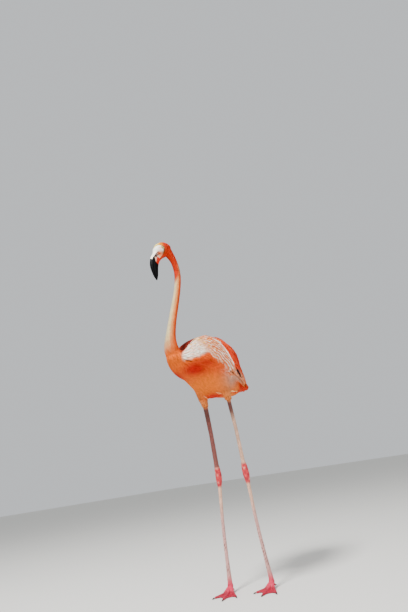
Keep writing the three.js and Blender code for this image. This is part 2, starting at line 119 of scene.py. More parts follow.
def plain_material(name, tint, roughness):
    made = bpy.data.materials.new(name)
    made.use_nodes = True
    shader = made.node_tree.nodes["Principled BSDF"]
    shader.inputs["Base Color"].default_value = (*tint, 1)
    shader.inputs["Roughness"].default_value = roughness
    return made


bm = bmesh.new()
bmesh.ops.create_grid(bm, x_segments=1, y_segments=1, size=FLOOR_REACH / 2)
bmesh.ops.translate(bm, vec=(0, 0, -FLOOR_DROP), verts=bm.verts)
floor_mesh = bpy.data.meshes.new("Floor")
bm.to_mesh(floor_mesh)
bm.free()
floor = bpy.data.objects.new("Floor", floor_mesh)
floor.data.materials.append(plain_material("FloorPale", colour(222, 220, 214), 0.9))
scene.collection.objects.link(floor)
print("floor", FLOOR_REACH, "m across")

# %% [markdown]
# Light comes from an even pale sky and one soft lamp high in front of the bird, which gives the
# form. A hard sun would draw the feathers sharper, but its black shadows would hide the belly and
# the legs. A weak second lamp lights the bird's left side.

# %% Light
BIRD_MIDDLE = (0.0, 0.0, 0.75)

world = bpy.data.worlds.new("Sky")
world.use_nodes = True
sky = world.node_tree.nodes["Background"]
sky.inputs["Color"].default_value = (0.94, 0.97, 1.0, 1)
sky.inputs["Strength"].default_value = 0.72
scene.world = world


def soft_lamp(name, place, size, power):
    """A round area lamp that looks at the bird's middle."""
    data = bpy.data.lights.new(name, "AREA")
    data.shape = "DISK"
    data.size = size
    data.energy = power
    lamp = bpy.data.objects.new(name, data)
    lamp.location = place
    aim = Vector(BIRD_MIDDLE) - Vector(place)
    lamp.rotation_euler = aim.to_track_quat("-Z", "Y").to_euler()
    scene.collection.objects.link(lamp)


soft_lamp("KeyLamp", (0.05, -1.75, 3.4), 0.7, 225)
soft_lamp("FillLamp", (2.4, -1.0, 1.5), 1.6, 30)
print("lamps", len(bpy.data.lights))

# %% [markdown]
# One skin lies under all the plumage and is bare on the face, legs and feet. It could be sculpted,
# or left as the separate solids, but then every joint between two solids would show as a seam. So
# copies of the flesh solids are joined, grown a little until the thin cuts between them close, and
# wrapped in one even net of small faces by the Remesh modifier. Smoothing takes the facets away.
# The long feathers are not flesh, but their solids are sunk in the back, so copies of them fill
# the hollows that they leave there.

# %% Skin: join and wrap
FLESH = [
    "head", "neck_upper", "neck_middle", "neck_lower", "trunk",
    "wing_right", "wing_left", "thigh_right", "thigh_left",
    "shank_right", "shank_left", "hock_right", "hock_left",
    "tarsus_right", "tarsus_left", "foot_right", "foot_left",
]
FANS = ["tertials_right", "tertials_left", "primaries_right", "primaries_left", "tail"]
CUT_CLOSING = 0.45 * MM
SKIN_NET = 1.9 * MM


def copy_of(node_name):
    """A merged copy of a solid, ready to be changed."""
    bm = bmesh.new()
    bm.from_mesh(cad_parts[node_name].data)
    bmesh.ops.remove_doubles(bm, verts=bm.verts, dist=0.01 * MM)
    bmesh.ops.recalc_face_normals(bm, faces=bm.faces)
    return bm


def joined(node_names, grow=0.0):
    """Copies of several solids in one bmesh, each grown outwards in metres."""
    whole = bmesh.new()
    for node_name in node_names:
        part = copy_of(node_name)
        part.normal_update()
        for vert in part.verts:
            vert.co += vert.normal * grow
        lump = bpy.data.meshes.new("lump")
        part.to_mesh(lump)
        part.free()
        whole.from_mesh(lump)
        bpy.data.meshes.remove(lump)
    return whole


def applied(name, bm, *modifiers):
    """A mesh made from a bmesh by modifiers: each is a type and its settings."""
    mesh = bpy.data.meshes.new(name)
    bm.to_mesh(mesh)
    bm.free()
    work = bpy.data.objects.new(name, mesh)
    scene.collection.objects.link(work)
    for kind, settings in modifiers:
        modifier = work.modifiers.new(kind, kind)
        for key, value in settings.items():
            setattr(modifier, key, value)
    depsgraph = bpy.context.evaluated_depsgraph_get()
    result = bpy.data.meshes.new_from_object(work.evaluated_get(depsgraph))
    bpy.data.objects.remove(work)
    bpy.data.meshes.remove(mesh)
    return result


wrap = applied(
    "wrap", joined(FLESH + FANS, CUT_CLOSING),
    ("REMESH", {"mode": "VOXEL", "voxel_size": SKIN_NET, "adaptivity": 0.0}),
    ("LAPLACIANSMOOTH", {"iterations": 3, "lambda_factor": 1.2, "use_volume_preserve": True}),
)
print("skin net", len(wrap.vertices), "points", len(wrap.polygons), "faces")

# %% [markdown]
# On a living bird feathers grow in tracts, and within a tract all lie the same way. Combing each
# one by hand would take for ever, and one fixed direction would make them stand up at the crown.
# So a few lines give the lie of the whole coat. The first runs from the base of the bill over the
# crown, down the neck and back through the trunk. Each thigh has its own, and so has each folded
# wing, where the coverts turn down at the rear.

# %% Lines that the plumage follows
HEAD_PIVOT_Y = -122
HEAD_TURN = math.radians(22)
LINE_STEP = 6.0


def head_point(forward, height, outward=0.0):
    """A place on the head, from its upright turning line, in the bird's own millimetres."""
    x = -math.sin(HEAD_TURN) * forward + math.cos(HEAD_TURN) * outward
    y = HEAD_PIVOT_Y - math.cos(HEAD_TURN) * forward - math.sin(HEAD_TURN) * outward
    return np.array([x, y, height], float)


HEAD_LINE = [head_point(f, h) for f, h in
             [(90, 1142), (83, 1152), (74, 1165), (62, 1177), (49, 1185), (36, 1189), (22, 1175)]]
NECK_LINE = [head_point(13, 1146), head_point(3, 1112)] + [np.array(p, float) for p in [
    (0, -122, 1068), (0, -132, 1017), (0, -148, 965), (0, -166, 914), (0, -183, 866),
    (0, -196, 822), (0, -204, 780), (0, -196, 745)]]
TRUNK_LINE = [np.array(p, float) for p in [
    (0, -172, 722), (0, -130, 718), (0, -70, 722), (0, 0, 712), (0, 70, 690), (0, 150, 662),
    (0, 230, 625)]]


def mirrored(points, side):
    return [np.array([side * x, y, z], float) for x, y, z in points]


def unit(vectors):
    """The same directions, each of length 1."""
    return vectors / np.maximum(np.linalg.norm(vectors, axis=-1, keepdims=True), 1e-9)


def flat_on(ways, normals):
    """What is left of each way once its part along the normal is taken out."""
    return ways - normals * (ways * normals).sum(-1, keepdims=True)


def reach_along(points):
    """How far along a line each of its points lies."""
    return np.concatenate([[0], np.cumsum(np.linalg.norm(np.diff(points, axis=0), axis=1))])


def along_line(points):
    """Evenly spaced places on a line, with the direction of the line at each."""
    points = np.array(points)
    reach = reach_along(points)
    marks = np.arange(0, reach[-1], LINE_STEP)
    places = np.stack([np.interp(marks, reach, points[:, k]) for k in range(3)], 1)
    return places, unit(np.gradient(places, axis=0))


SPINE_PLACES, SPINE_WAYS = along_line(HEAD_LINE + NECK_LINE + TRUNK_LINE)
SPINE_LENGTH = LINE_STEP * len(SPINE_PLACES)
WING_LINE = [(50, -185, 765), (62, -150, 778), (80, -105, 768), (94, -60, 738), (102, -25, 697),
             (104, 8, 650), (98, 40, 610)]
THIGH_LINES = {-1: [(-56, -22, 690), (-56, -16, 650), (-58, 2, 575)],
               1: [(56, -22, 690), (57, -18, 650), (58, -4, 575)]}
print("lines", len(SPINE_PLACES), "places on the bird's own line")

# %% [markdown]
# A feather takes its way from every line at once, and the nearest line pulls hardest: its pull
# falls with the fourth power of the distance, so tracts blend where they meet.

# %% The lie of the coat
NEAREST_PULL = 60.0
THIGH_PULL = 1.2


def lie_of_coat(points, normals, wing_share=0.0):
    """The way the feathers point at places on the skin, in the bird's own millimetres."""
    def pull(line, strength):
        places, ways = line
        gap = ((points[:, None, :] - places[None]) ** 2).sum(2) + NEAREST_PULL
        weight = strength / gap ** 2
        return (weight[:, :, None] * ways[None]).sum(1)

    way = pull((SPINE_PLACES, SPINE_WAYS), 1.0)
    for side in (-1, 1):
        way += pull(along_line(THIGH_LINES[side]), THIGH_PULL)
        if wing_share:
            way += pull(along_line(mirrored(WING_LINE, side)), wing_share)
    return unit(flat_on(way, normals))


shoulder, upright = np.array([[60.0, -110, 800]]), np.array([[0.0, 0, 1]])
print("feathers on the shoulder point", lie_of_coat(shoulder, upright)[0].round(2).tolist())

# %% [markdown]
# The bird makes no red of its own: the pigment comes with its food, and is deepest at the breast
# and tail, palest on the shoulder of the folded wing, where painted sunlight makes it paler still.
# Painted sunlight also pales the neck's front, and painted shade darkens the mantle, the mouth, the
# rear edge of the face and the upper legs. A painted image could carry the markings, but it would
# blur between the feathers. Here every marking is a function of the place on the bird, and skin and
# feathers read the same one, so they agree wherever one shows past the other.

# %% Pigments, and colours of painted light and shade
CORAL = colour(232, 70, 2)
ORANGE = colour(240, 88, 4)
TANGERINE = colour(255, 126, 22)
DEEP_RED = colour(198, 22, 0)
SCARLET = colour(222, 44, 2)
PEACH = colour(255, 168, 100)
CREAM = colour(255, 232, 164)
SHELL = colour(255, 240, 222)
BLUSH = colour(255, 196, 168)
AMBER = colour(255, 150, 0)
STRAW = colour(255, 232, 120)
ROSE_GREY = colour(218, 158, 130)
# Painted shade for the mantle between the wings, behind the neck.
MANTLE_SHADE = colour(122, 22, 10)
# Painted shade along the rear edge of the bare face and in the fold of the eyelids.
SHADE_OLIVE = colour(126, 74, 24)
IVORY = colour(255, 252, 240)
# Painted shade in the gap of the mouth, the fold behind it and the nostril's slit.
GAP_SHADE_BROWN = colour(50, 16, 10)
print("orange as linear light", ORANGE.round(3).tolist())

# %% [markdown]
# A marking is a soft step or a soft patch, painted over the last one. Sine waves in a few random
# directions add a smooth wander, because no border on a real coat is a clean line.

# %% Soft steps and patches
def soft_step(value, start, end):
    """0 before start, 1 after end, smooth between."""
    share = np.clip((value - start) / (end - start), 0, 1)
    return share * share * (3 - 2 * share)


def patch(points, centre, reach):
    """1 at a place, falling softly to nothing a reach away. The reach may differ by axis."""
    gap = ((points - np.array(centre, float)) / np.array(reach, float)) ** 2
    return np.exp(-1.6 * gap.sum(1))


def both_sides(points):
    """The same places, folded over to the bird's left, for markings that both sides share."""
    folded = points.copy()
    folded[:, 0] = np.abs(folded[:, 0])
    return folded


def paint(base, tint, amount):
    """Lays a colour, or one colour for each place, over the base by the amount."""
    return base + (np.asarray(tint) - base) * np.clip(amount, 0, 1)[:, None]


def ripple(points, size, seed):
    """A cheap smooth wander between -1 and 1, for uneven colour."""
    rng = np.random.default_rng(seed)
    total = np.zeros(len(points))
    for _ in range(5):
        way = rng.normal(size=3)
        way *= 2 * math.pi / (size * np.linalg.norm(way) * rng.uniform(0.7, 1.5))
        total += np.sin(points @ way + rng.uniform(0, 6.28))
    return total / 3.2


print("half way through a soft step", float(soft_step(0.5, 0, 1)))

# %% [markdown]
# Borders come next: where the feathers stop at the naked face, where the neck stands in front of
# the back, and how high the pale part of the wing reaches, which carries painted sunlight. The head
# is turned to one side, so its borders are drawn in its own directions: forward to the bill, up,
# and outward to the eye.

# %% Borders of the face, neck and wing
def head_frame(points):
    """Forward, height and outward of places on the head."""
    x = points[:, 0]
    y = points[:, 1] - HEAD_PIVOT_Y
    forward = -math.sin(HEAD_TURN) * x - math.cos(HEAD_TURN) * y
    outward = math.cos(HEAD_TURN) * x - math.sin(HEAD_TURN) * y
    return np.stack([forward, points[:, 2], outward], 1)


FACE_REAR = ([1120, 1132, 1142, 1153, 1165, 1178, 1187], [79, 72, 64, 57, 52.5, 52, 61])
FACE_TOP = ([48, 61, 68, 75, 82, 88, 96], [1180, 1186, 1188.5, 1188, 1186, 1182, 1174])


def bare_face(points):
    """1 on the naked skin between the bill and the eye, 0 on the feathered head."""
    f, h, _ = head_frame(points).T
    rear = np.interp(h, *FACE_REAR)
    top = np.interp(f, *FACE_TOP)
    inside = soft_step(f, rear - 1.0, rear + 1.0) * (1 - soft_step(h, top - 1.0, top + 1.0))
    return inside * soft_step(h, 1090, 1092)


NECK_REAR = ([735, 760, 780, 822, 866], [-186, -179, -173, -167, -150])
WING_EDGE = ([-200, -190, -160, -141, -118, -106, -92, -76, -53, -25, 0],
             [712, 706, 713, 720, 732, 727, 712, 704, 695, 680, 652])


def root_of_bill(points):
    """How places move back where the forehead steps down to the bill, in millimetres."""
    f, h, _ = head_frame(points).T
    depth = 3.0 * np.exp(-((h - 1161) / 11) ** 2) * soft_step(f, 80, 93)
    return depth[:, None] * (head_point(0, 0) - head_point(1, 0))


def neck_share(points):
    """1 on the neck and head, 0 on the trunk and wings."""
    x, y, z = points.T
    low = soft_step(z, 730, 762) * (1 - soft_step(np.abs(x), 26, 34))
    low = low * soft_step(np.interp(z, *NECK_REAR) - y, -6, 6)
    return np.maximum(low, soft_step(z, 845, 860))


def pale_and_sunlit_wing(near):
    """1 on the pale upper part of the folded wing, pale coverts with painted sunlight on them.
    Takes places folded to the bird's left.
    """
    x, y, z = near.T
    edge = np.interp(y, *WING_EDGE) + 4 * ripple(near, 30, 4)
    return soft_step(z - edge, -4, 12) * soft_step(x, 32, 46) * (1 - soft_step(y, -8, 16))


print("bare face at the bill's root", round(float(bare_face(head_point(84, 1160)[None])[0]), 2))

# %% [markdown]
# The trunk is orange, with a red patch low on the breast and a rosy grey one on the rear flank.
# The folded wing is the palest part, its pale coverts brightened with painted sunlight, and painted
# shade darkens the mantle between the wings.

# %% Colours of trunk and wing
def trunk_colour(near):
    """Orange below and in front, rosy grey behind, red at the breast, belly and tail."""
    _, y, z = near.T
    base = np.tile(ORANGE, (len(near), 1))
    base = paint(base, TANGERINE, (1 - soft_step(z, 640, 694)) * 0.9)
    base = paint(base, ROSE_GREY, patch(near, (80, 22, 654), (40, 62, 56)) * 1.1)
    base = paint(base, PEACH, patch(near, (62, 10, 596), (40, 44, 34)) * 0.75)
    base = paint(base, TANGERINE, soft_step(-y, 150, 200) * 0.5)
    base = paint(base, DEEP_RED, patch(near, (44, -144, 682), (60, 52, 24)) * 1.2)
    base = paint(base, DEEP_RED, patch(near, (76, -112, 702), (30, 36, 11)) * 0.7)
    base = paint(base, SCARLET, patch(near, (2, -4, 605), (40, 52, 13)) * 1.3)
    return paint(base, SCARLET, soft_step(y + 0.4 * (z - 680), 60, 100) * 0.95)


def wing_colour(base, near):
    """The pale shoulder with painted sunlight on it, the warm edge above it and painted shade on
    the mantle between the wings.
    """
    x, y, z = near.T
    pale = pale_and_sunlit_wing(near)
    # Painted sunlight on the upper wing: peach and shell over the pale coverts, whitest at the
    # front, and a cream highlight on top of the shoulder.
    base = paint(base, PEACH, pale * 0.95)
    base = paint(base, SHELL, pale * (1 - soft_step(y + 0.5 * (z - 740), -140, -90) * 0.9))
    base = paint(base, CREAM, patch(near, (60, -110, 792), (30, 50, 14)) * 0.5)
    base = paint(base, TANGERINE, soft_step(z, 792, 806) * (1 - soft_step(-y, 60, 100)) * 0.5)
    middle = 1 - soft_step(x, 30, 44)
    behind_neck = soft_step(y - np.interp(z, *NECK_REAR), -14, -4)
    # Painted shade: the mantle behind the neck and between the wings is darkened to maroon.
    base = paint(base, MANTLE_SHADE, middle * behind_neck * soft_step(-y, 74, 100)
                 * soft_step(z, 722, 738) * 0.95)
    base = paint(base, SCARLET, middle * soft_step(y, -96, -60) * soft_step(z, 700, 760) * 0.85)
    return paint(base, SCARLET, soft_step(y, 6, 40) * soft_step(z, 660, 700) * 0.9)


print("pale wing over the shoulder", round(float(pale_and_sunlit_wing(shoulder)[0]), 2))

# %% [markdown]
# The neck is deep orange at both ends. Between them, the side that faces forward and to the right
# is painted cream, and the nape high up peach: both are painted sunlight. They are told by the way
# the skin faces, since the neck is too thin for patches. The face is white, with yellow over the
# forehead; the dark line at the mouth is painted shade, and so is an olive band along the face's
# rear edge.

# %% Colours of neck and head
MOUTH = ([1040, 1070, 1092, 1114, 1134, 1150, 1163], [92, 97, 100, 99, 94, 86, 70])
MOUTH_FOLD = ([1138, 1143, 1148, 1152], [87, 83, 78, 71])
MOUTH_WIDTH = 2.9
# Painted sunlight: the neck is painted pale on the side that faces this way, and peach on the nape
# side that faces the next.
SUNLIT_SIDE = np.array([-0.62, -0.78, 0.08])
NAPE_SUNLIT_SIDE = np.array([0.5, 0.8, 0.2])
FACE_SPOTS = [
    (colour(214, 240, 226), (86, 1168), (7, 7), 0.9),
    (colour(190, 200, 168), (62, 1159), (6, 8), 0.9),
    (colour(255, 176, 156), (69, 1175.5), (8, 4), 0.9),
    (STRAW, (60, 1187), (8, 5), 0.9),
    (colour(244, 108, 40), (71, 1151), (19, 14), 1.2),
    (PEACH, (66, 1141), (9, 8), 0.9),
]


def neck_colour(points, normals):
    """Deep orange at both ends and behind, with painted sunlight between them: pale cream down the
    front and right, and peach high on the nape.
    """
    z = points[:, 2]
    toward_sun = normals @ SUNLIT_SIDE
    low_end = z + 9 * ripple(points, 16, 14)
    middle = soft_step(low_end, 724, 826) * (1 - soft_step(z + 26 * toward_sun, 1050, 1084))
    base = np.tile(ORANGE, (len(points), 1))
    # Painted sunlight: peach, cream and ivory on the side of the neck that faces the light.
    base = paint(base, PEACH, middle * soft_step(toward_sun, -0.62, -0.1))
    base = paint(base, CREAM, middle * soft_step(toward_sun, 0.0, 0.62) * 0.95)
    base = paint(base, IVORY, middle * soft_step(toward_sun, 0.6, 1.0) * 0.4)
    upper = soft_step(z + 26 * toward_sun, 1040, 1084)
    base = paint(base, SCARLET, upper * 0.9)
    # Painted sunlight: peach high on the side of the neck that faces the nape way.
    outer = soft_step(normals @ NAPE_SUNLIT_SIDE, -0.1, 0.75) * (1 - soft_step(z, 1096, 1130))
    return paint(base, PEACH, upper * outer * 0.85)


def beside_curve(f, h, curve, width):
    """1 on a curve over the head, which gives forward at heights, falling to 0 beside it."""
    return np.exp(-((f - np.interp(h, *curve)) / width) ** 2)


def mouth_shade(f, h):
    """Painted shade: the dark line in the gap of the mouth and in the fold behind it."""
    lip = beside_curve(f, h, MOUTH, MOUTH_WIDTH)
    lip = lip * soft_step(h, 1130, 1136) * (1 - soft_step(h, 1156, 1160))
    fold = beside_curve(f, h, MOUTH_FOLD, MOUTH_WIDTH)
    fold = fold * soft_step(h, 1134, 1138) * (1 - soft_step(h, 1151, 1155))
    return np.maximum(lip, fold) * 1.7


def head_patch(f, h, centre, reach):
    """A soft patch on both sides of the head, by forward and height."""
    flat = np.stack([f, h, np.zeros(len(f))], 1)
    return patch(flat, (*centre, 0), (*reach, 1))


def head_colour(base, points):
    """Amber and yellow over the forehead, a white face, warm skin at the corner of the mouth, and
    painted shade at the mouth and along the face's rear edge.
    """
    f, h, _ = head_frame(points).T
    head = soft_step(h, 1096, 1116)
    warm = paint(base, TANGERINE, head_patch(f, h, (58, 1130), (14, 10)) * 0.8)
    warm = paint(warm, AMBER, soft_step(f, 50, 62) * soft_step(h, 1182, 1192))
    warm = paint(warm, STRAW, soft_step(f, 64, 78) * soft_step(h, 1174, 1184))
    face = np.tile(IVORY, (len(points), 1))
    for tint, centre, reach, amount in FACE_SPOTS:
        face = paint(face, tint, head_patch(f, h, centre, reach) * amount)
    # Painted shade in the mouth and its fold.
    face = paint(face, GAP_SHADE_BROWN, mouth_shade(f, h))
    base = paint(base, warm, head)
    base = paint(base, face, head * bare_face(points))
    # Painted shade: an olive band along the rear edge of the bare face.
    rear = beside_curve(f - 0.5, h, FACE_REAR, 4.6)
    return paint(base, SHADE_OLIVE, rear * soft_step(h, 1146, 1156) * (1 - soft_step(h, 1180, 1188)))


print("spots on the face", len(FACE_SPOTS))

# %% [markdown]
# The legs are grey-pink below and red and mottled at the hock, with painted highlights there. The
# brown where they go up into the feathers, and the maroon of the right shank, are painted shade of
# the body. One function then joins all the regions, and everything else calls only that one.

# %% Colours of the legs, and of the whole bird
# Brown serves for the speckles low on the tarsus and as painted shade of the body at the tops of
# the shanks; maroon is painted shade on the right shank.
SPECKLE_AND_SHADE_BROWN = colour(104, 54, 44)
SHANK_SHADE_MAROON = colour(136, 74, 66)
LEG_BEIGE = colour(232, 182, 152)
LEG_GREY = colour(212, 158, 150)
HOCK_PINK = colour(222, 52, 62)
FOOT_PINK = colour(222, 34, 78)
WEB_CRIMSON = colour(160, 8, 40)


def leg_colour(points):
    """Grey-pink below, red at the hock with painted highlights, beige, and painted shade of the
    body: maroon on the right shank, brown up to the feathers.
    """
    x, _, z = points.T
    base = np.tile(LEG_GREY, (len(points), 1))
    base = paint(base, LEG_BEIGE, soft_step(z, 180, 280))
    # Painted shade: the right shank, in the body's shadow, is maroon above the hock.
    base = paint(base, SHANK_SHADE_MAROON, soft_step(z, 360, 372) * (x < 0))
    # Painted shade of the body: brown at the tops of the shanks.
    base = paint(base, SPECKLE_AND_SHADE_BROWN, soft_step(z, 500, 548))
    hock = soft_step(z, 300, 310) * (1 - soft_step(z, 360, 372))
    base = paint(base, HOCK_PINK, hock)
    mottle_and_glint = ripple(points, 15, 33)
    base = paint(base, WEB_CRIMSON, hock * soft_step(mottle_and_glint, 0.1, 0.7) * 0.6)
    # Painted highlights: pale blush spots on the hock.
    base = paint(base, BLUSH, hock * soft_step(-mottle_and_glint, 0.4, 1.0) * 0.45)
    speckles = soft_step(ripple(points * np.array([1, 1, 0.6]), 7, 21), 0.45, 0.7)
    speckles = speckles * soft_step(z, 40, 70) * (1 - soft_step(z, 130, 200))
    base = paint(base, SPECKLE_AND_SHADE_BROWN, speckles * 0.8)
    base = paint(base, FOOT_PINK, 1 - soft_step(z, 20, 56))
    return paint(base, WEB_CRIMSON, (1 - soft_step(z, 8, 14)) * 0.75)


def plumage(points, normals):
    """The colour of skin and coat at places on the bird, in linear light."""
    near = both_sides(points)
    base = wing_colour(trunk_colour(near), near)
    base = paint(base, head_colour(neck_colour(points, normals), points), neck_share(points))
    return paint(base, leg_colour(points), 1 - soft_step(points[:, 2], 566, 586))


print("colour of the shoulder", plumage(shoulder, upright)[0].round(2).tolist())

# %% [markdown]
# The solids are the bird's outline with its feathers on, so the skin has to lie deeper, by the
# depth of the coat: deep on the body, shallow on the neck and head, nothing on the face and legs.
# Smooth plumage over a skin that was left at full size would make the bird too fat.

# %% Depth of the coat
BODY_DEPTH, NECK_DEPTH, HEAD_DEPTH, THIGH_DEPTH, TAIL_DEPTH = 6.5, 2.2, 1.3, 2.5, 2.2


def coat_depth(points):
    """How deep the plumage is, in millimetres."""
    y, z = points[:, 1], points[:, 2]
    depth = np.full(len(points), BODY_DEPTH)
    depth = depth + (NECK_DEPTH - depth) * neck_share(points)
    depth = depth + (HEAD_DEPTH - depth) * soft_step(z, 1070, 1130)
    depth = depth * (1 - bare_face(points))
    depth = depth + (THIGH_DEPTH - depth) * (1 - soft_step(z, 600, 640))
    depth = depth + (TAIL_DEPTH - depth) * soft_step(y, 120, 150)
    return depth * soft_step(z, 578, 590)


print("coat on the shoulder", float(coat_depth(shoulder)[0].round(2)), "mm deep")

# %% [markdown]
# Whole meshes are read and written as arrays from here on, which is many times quicker than one
# point at a time.

# %% Meshes as arrays
def mesh_arrays(mesh):
    """Places and normals of a mesh's points, in the bird's own millimetres."""
    count = len(mesh.vertices)
    places, normals = np.empty(count * 3), np.empty(count * 3)
    mesh.vertices.foreach_get("co", places)
    mesh.vertices.foreach_get("normal", normals)
    return to_bird(places.reshape(-1, 3)), normals.reshape(-1, 3)


def set_places(mesh, places):
    mesh.vertices.foreach_set("co", to_frame(places).astype(np.float32).ravel())
    mesh.update()


def write_colours(mesh, tints):
    """Keeps one colour for each point in the attribute that the materials read."""
    layer = mesh.attributes.new("Plumage", "FLOAT_COLOR", "POINT")
    rgba = np.ones((len(tints), 4), np.float32)
    rgba[:, :3] = tints
    layer.data.foreach_set("color", rgba.ravel())


def shown(name, mesh):
    """An object in the scene for a finished mesh, smooth shaded."""
    mesh.polygons.foreach_set("use_smooth", np.ones(len(mesh.polygons), bool))
    made = bpy.data.objects.new(name, mesh)
    scene.collection.objects.link(made)
    return made


places, _ = mesh_arrays(wrap)
print("net from", places[:, 2].min().round(1), "to", places[:, 2].max().round(1), "mm up")

# %% [markdown]
# Loose plumage bridges the steps where wings and thighs meet the trunk. The Smooth modifier eases
# them, by a vertex group that leaves out the neck, the rear and the legs. The net is fine
# everywhere, but only the bare parts need that, so Decimate thins it where feathers cover it.

# %% Skin: ease and thin
EASE_ROUNDS = 420
COVERED_SHARE = 0.42

bare = (coat_depth(places) < 1.25) | (places[:, 2] > 1060)
work = bpy.data.objects.new("work", wrap)
scene.collection.objects.link(work)
covered = work.vertex_groups.new(name="covered")
covered.add(np.flatnonzero(~bare).tolist(), 1.0, "ADD")
blend = soft_step(places[:, 2], 604, 622) * (1 - soft_step(places[:, 1], 30, 70))
blend = np.round(blend * (1 - neck_share(places)), 1)
blended = work.vertex_groups.new(name="blended")
for level in np.unique(blend):
    blended.add(np.flatnonzero(blend == level).tolist(), float(level), "ADD")
ease = work.modifiers.new("ease", "SMOOTH")
ease.factor = 0.5
ease.iterations = EASE_ROUNDS
ease.vertex_group = "blended"
thin = work.modifiers.new("thin", "DECIMATE")
thin.ratio = COVERED_SHARE
thin.vertex_group = "covered"
thin.use_collapse_triangulate = True
depsgraph = bpy.context.evaluated_depsgraph_get()
skin_mesh = bpy.data.meshes.new_from_object(work.evaluated_get(depsgraph))
bpy.data.objects.remove(work)
skin_mesh.name = "Skin"
print("skin", len(skin_mesh.vertices), "points", len(skin_mesh.polygons), "faces")

# %% [markdown]
# Last, every point of the skin moves in along its normal by the depth of the coat there. A
# Displace modifier could do it, but it would need a texture for the depth. The colours are taken
# before the move, at the places that the solids gave.

# %% Skin: draw in under the coat
places, normals = mesh_arrays(skin_mesh)
depth = coat_depth(places)
drawn_in = normals * (depth + CUT_CLOSING / MM)[:, None]
set_places(skin_mesh, places - drawn_in + root_of_bill(places))
write_colours(skin_mesh, plumage(places, normals))
skin = shown("skin", skin_mesh)
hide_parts(*FLESH)
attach(skin, BODY)
print("skin drawn in by up to", round(float(depth.max()), 1), "mm")

# %% [markdown]
# Materials are built from a few nodes each, and one helper adds a node and joins it up. Each
# starts from the colour kept on the mesh, varies it with noise on the object's own coordinates,
# and roughens the surface with a bump. Values that never vary sit on the shader itself.

# %% Material helpers
def node_material(name, roughness=0.6, gloss=0.3, coat=0.0):
    """A new material, its node tree and its shader."""
    made = bpy.data.materials.new(name)
    made.use_nodes = True
    tree = made.node_tree
    shader = tree.nodes["Principled BSDF"]
    shader.inputs["Roughness"].default_value = roughness
    shader.inputs["Specular IOR Level"].default_value = gloss
    shader.inputs["Coat Weight"].default_value = coat
    return made, tree, shader


def node(tree, kind, links=None, **settings):
    """Adds a node. Settings that name an input set it, links join inputs to outputs."""
    made = tree.nodes.new(kind)
    for key, value in settings.items():
        if hasattr(made, key):
            setattr(made, key, value)
        else:
            made.inputs[key.replace("_", " ")].default_value = value
    for key, source in (links or {}).items():
        tree.links.new(source, made.inputs[key])
    return made


def stored_colour(tree):
    return node(tree, "ShaderNodeAttribute", attribute_name="Plumage").outputs["Color"]


def object_place(tree, scale=(1, 1, 1)):
    source = node(tree, "ShaderNodeTexCoord").outputs["Object"]
    return node(tree, "ShaderNodeMapping", {"Vector": source}, Scale=scale).outputs["Vector"]


def ramp(tree, value, low, high, to_low=0.0, to_high=1.0):
    """A value stretched from one span to another, which stops at the ends."""
    return node(tree, "ShaderNodeMapRange", {"Value": value}, From_Min=low, From_Max=high,
                To_Min=to_low, To_Max=to_high).outputs["Result"]


def scaled(tree, tint, factor):
    """The colour times a factor that differs over the surface."""
    return node(tree, "ShaderNodeVectorMath", {0: tint, "Scale": factor},
                operation="SCALE").outputs["Vector"]


def varied(tree, place, scale, low, high):
    """The stored colour, made darker and lighter by noise, between two shares of itself."""
    noise = node(tree, "ShaderNodeTexNoise", {"Vector": place}, Scale=scale, Detail=4.0)
    factor = ramp(tree, noise.outputs["Fac"], 0.3, 0.7, low, high)
    return scaled(tree, stored_colour(tree), factor)


def bump(tree, shader, height, distance, strength=1.0):
    raised = node(tree, "ShaderNodeBump", {"Height": height}, Strength=strength, Distance=distance)
    tree.links.new(raised.outputs["Normal"], shader.inputs["Normal"])


def grain(tree, shader, place, scale, distance, strength):
    """Fine noise as a bump."""
    noise = node(tree, "ShaderNodeTexNoise", {"Vector": place}, Scale=scale, Detail=3)
    bump(tree, shader, noise.outputs["Fac"], distance, strength)


print("material helpers ready")

# %% [markdown]
# A flamingo's leg is sheathed in small horny scales, longer than they are wide. Thousands of them
# modelled one by one would be too small to see, so a Voronoi pattern draws their seams: darker in
# the colour and lower in the bump. The face is soft naked skin with only a fine grain.

# %% Skin materials
LEG_TOP = 640


def leg_material():
    made, tree, shader = node_material("LegScales", roughness=0.42, gloss=0.4)
    place = object_place(tree, (1, 1, 0.45))
    tint = varied(tree, place, 160, 0.72, 1.12)
    scales = node(tree, "ShaderNodeTexVoronoi", {"Vector": place}, Scale=330,
                  feature="DISTANCE_TO_EDGE")
    edge = ramp(tree, scales.outputs["Distance"], 0, 0.12)
    seamed = scaled(tree, tint, ramp(tree, edge, 0, 1, 0.78, 1))
    tree.links.new(seamed, shader.inputs["Base Color"])
    bump(tree, shader, edge, 0.0005, 0.7)
    return made


def face_material():
    made, tree, shader = node_material("FaceSkin", roughness=0.5)
    place = object_place(tree)
    tree.links.new(varied(tree, place, 240, 0.86, 1.04), shader.inputs["Base Color"])
    grain(tree, shader, place, 900, 0.0004, 0.6)
    return made


skin_mesh.materials.append(leg_material())
FACE_SKIN = face_material()
skin_mesh.materials.append(FACE_SKIN)
middles = np.empty(len(skin_mesh.polygons) * 3)
skin_mesh.polygons.foreach_get("center", middles)
above_legs = to_bird(middles.reshape(-1, 3))[:, 2] > LEG_TOP
skin_mesh.polygons.foreach_set("material_index", above_legs.astype(np.int32))
print("faces of skin above the legs", int(above_legs.sum()))

# %% [markdown]
# A contour feather is a thin vane with a soft root. Hair strands would be lighter, but they are
# lines, not solids, and wouldn't last outside this file. So a feather is drawn once, as a flat,
# closed, lens-shaped vane of a few dozen faces: two thin sheets that share their rim. Its points
# know how far along they lie, how far across and which sheet they belong to. Each feather on the
# bird then takes those points along its own trail over the skin.

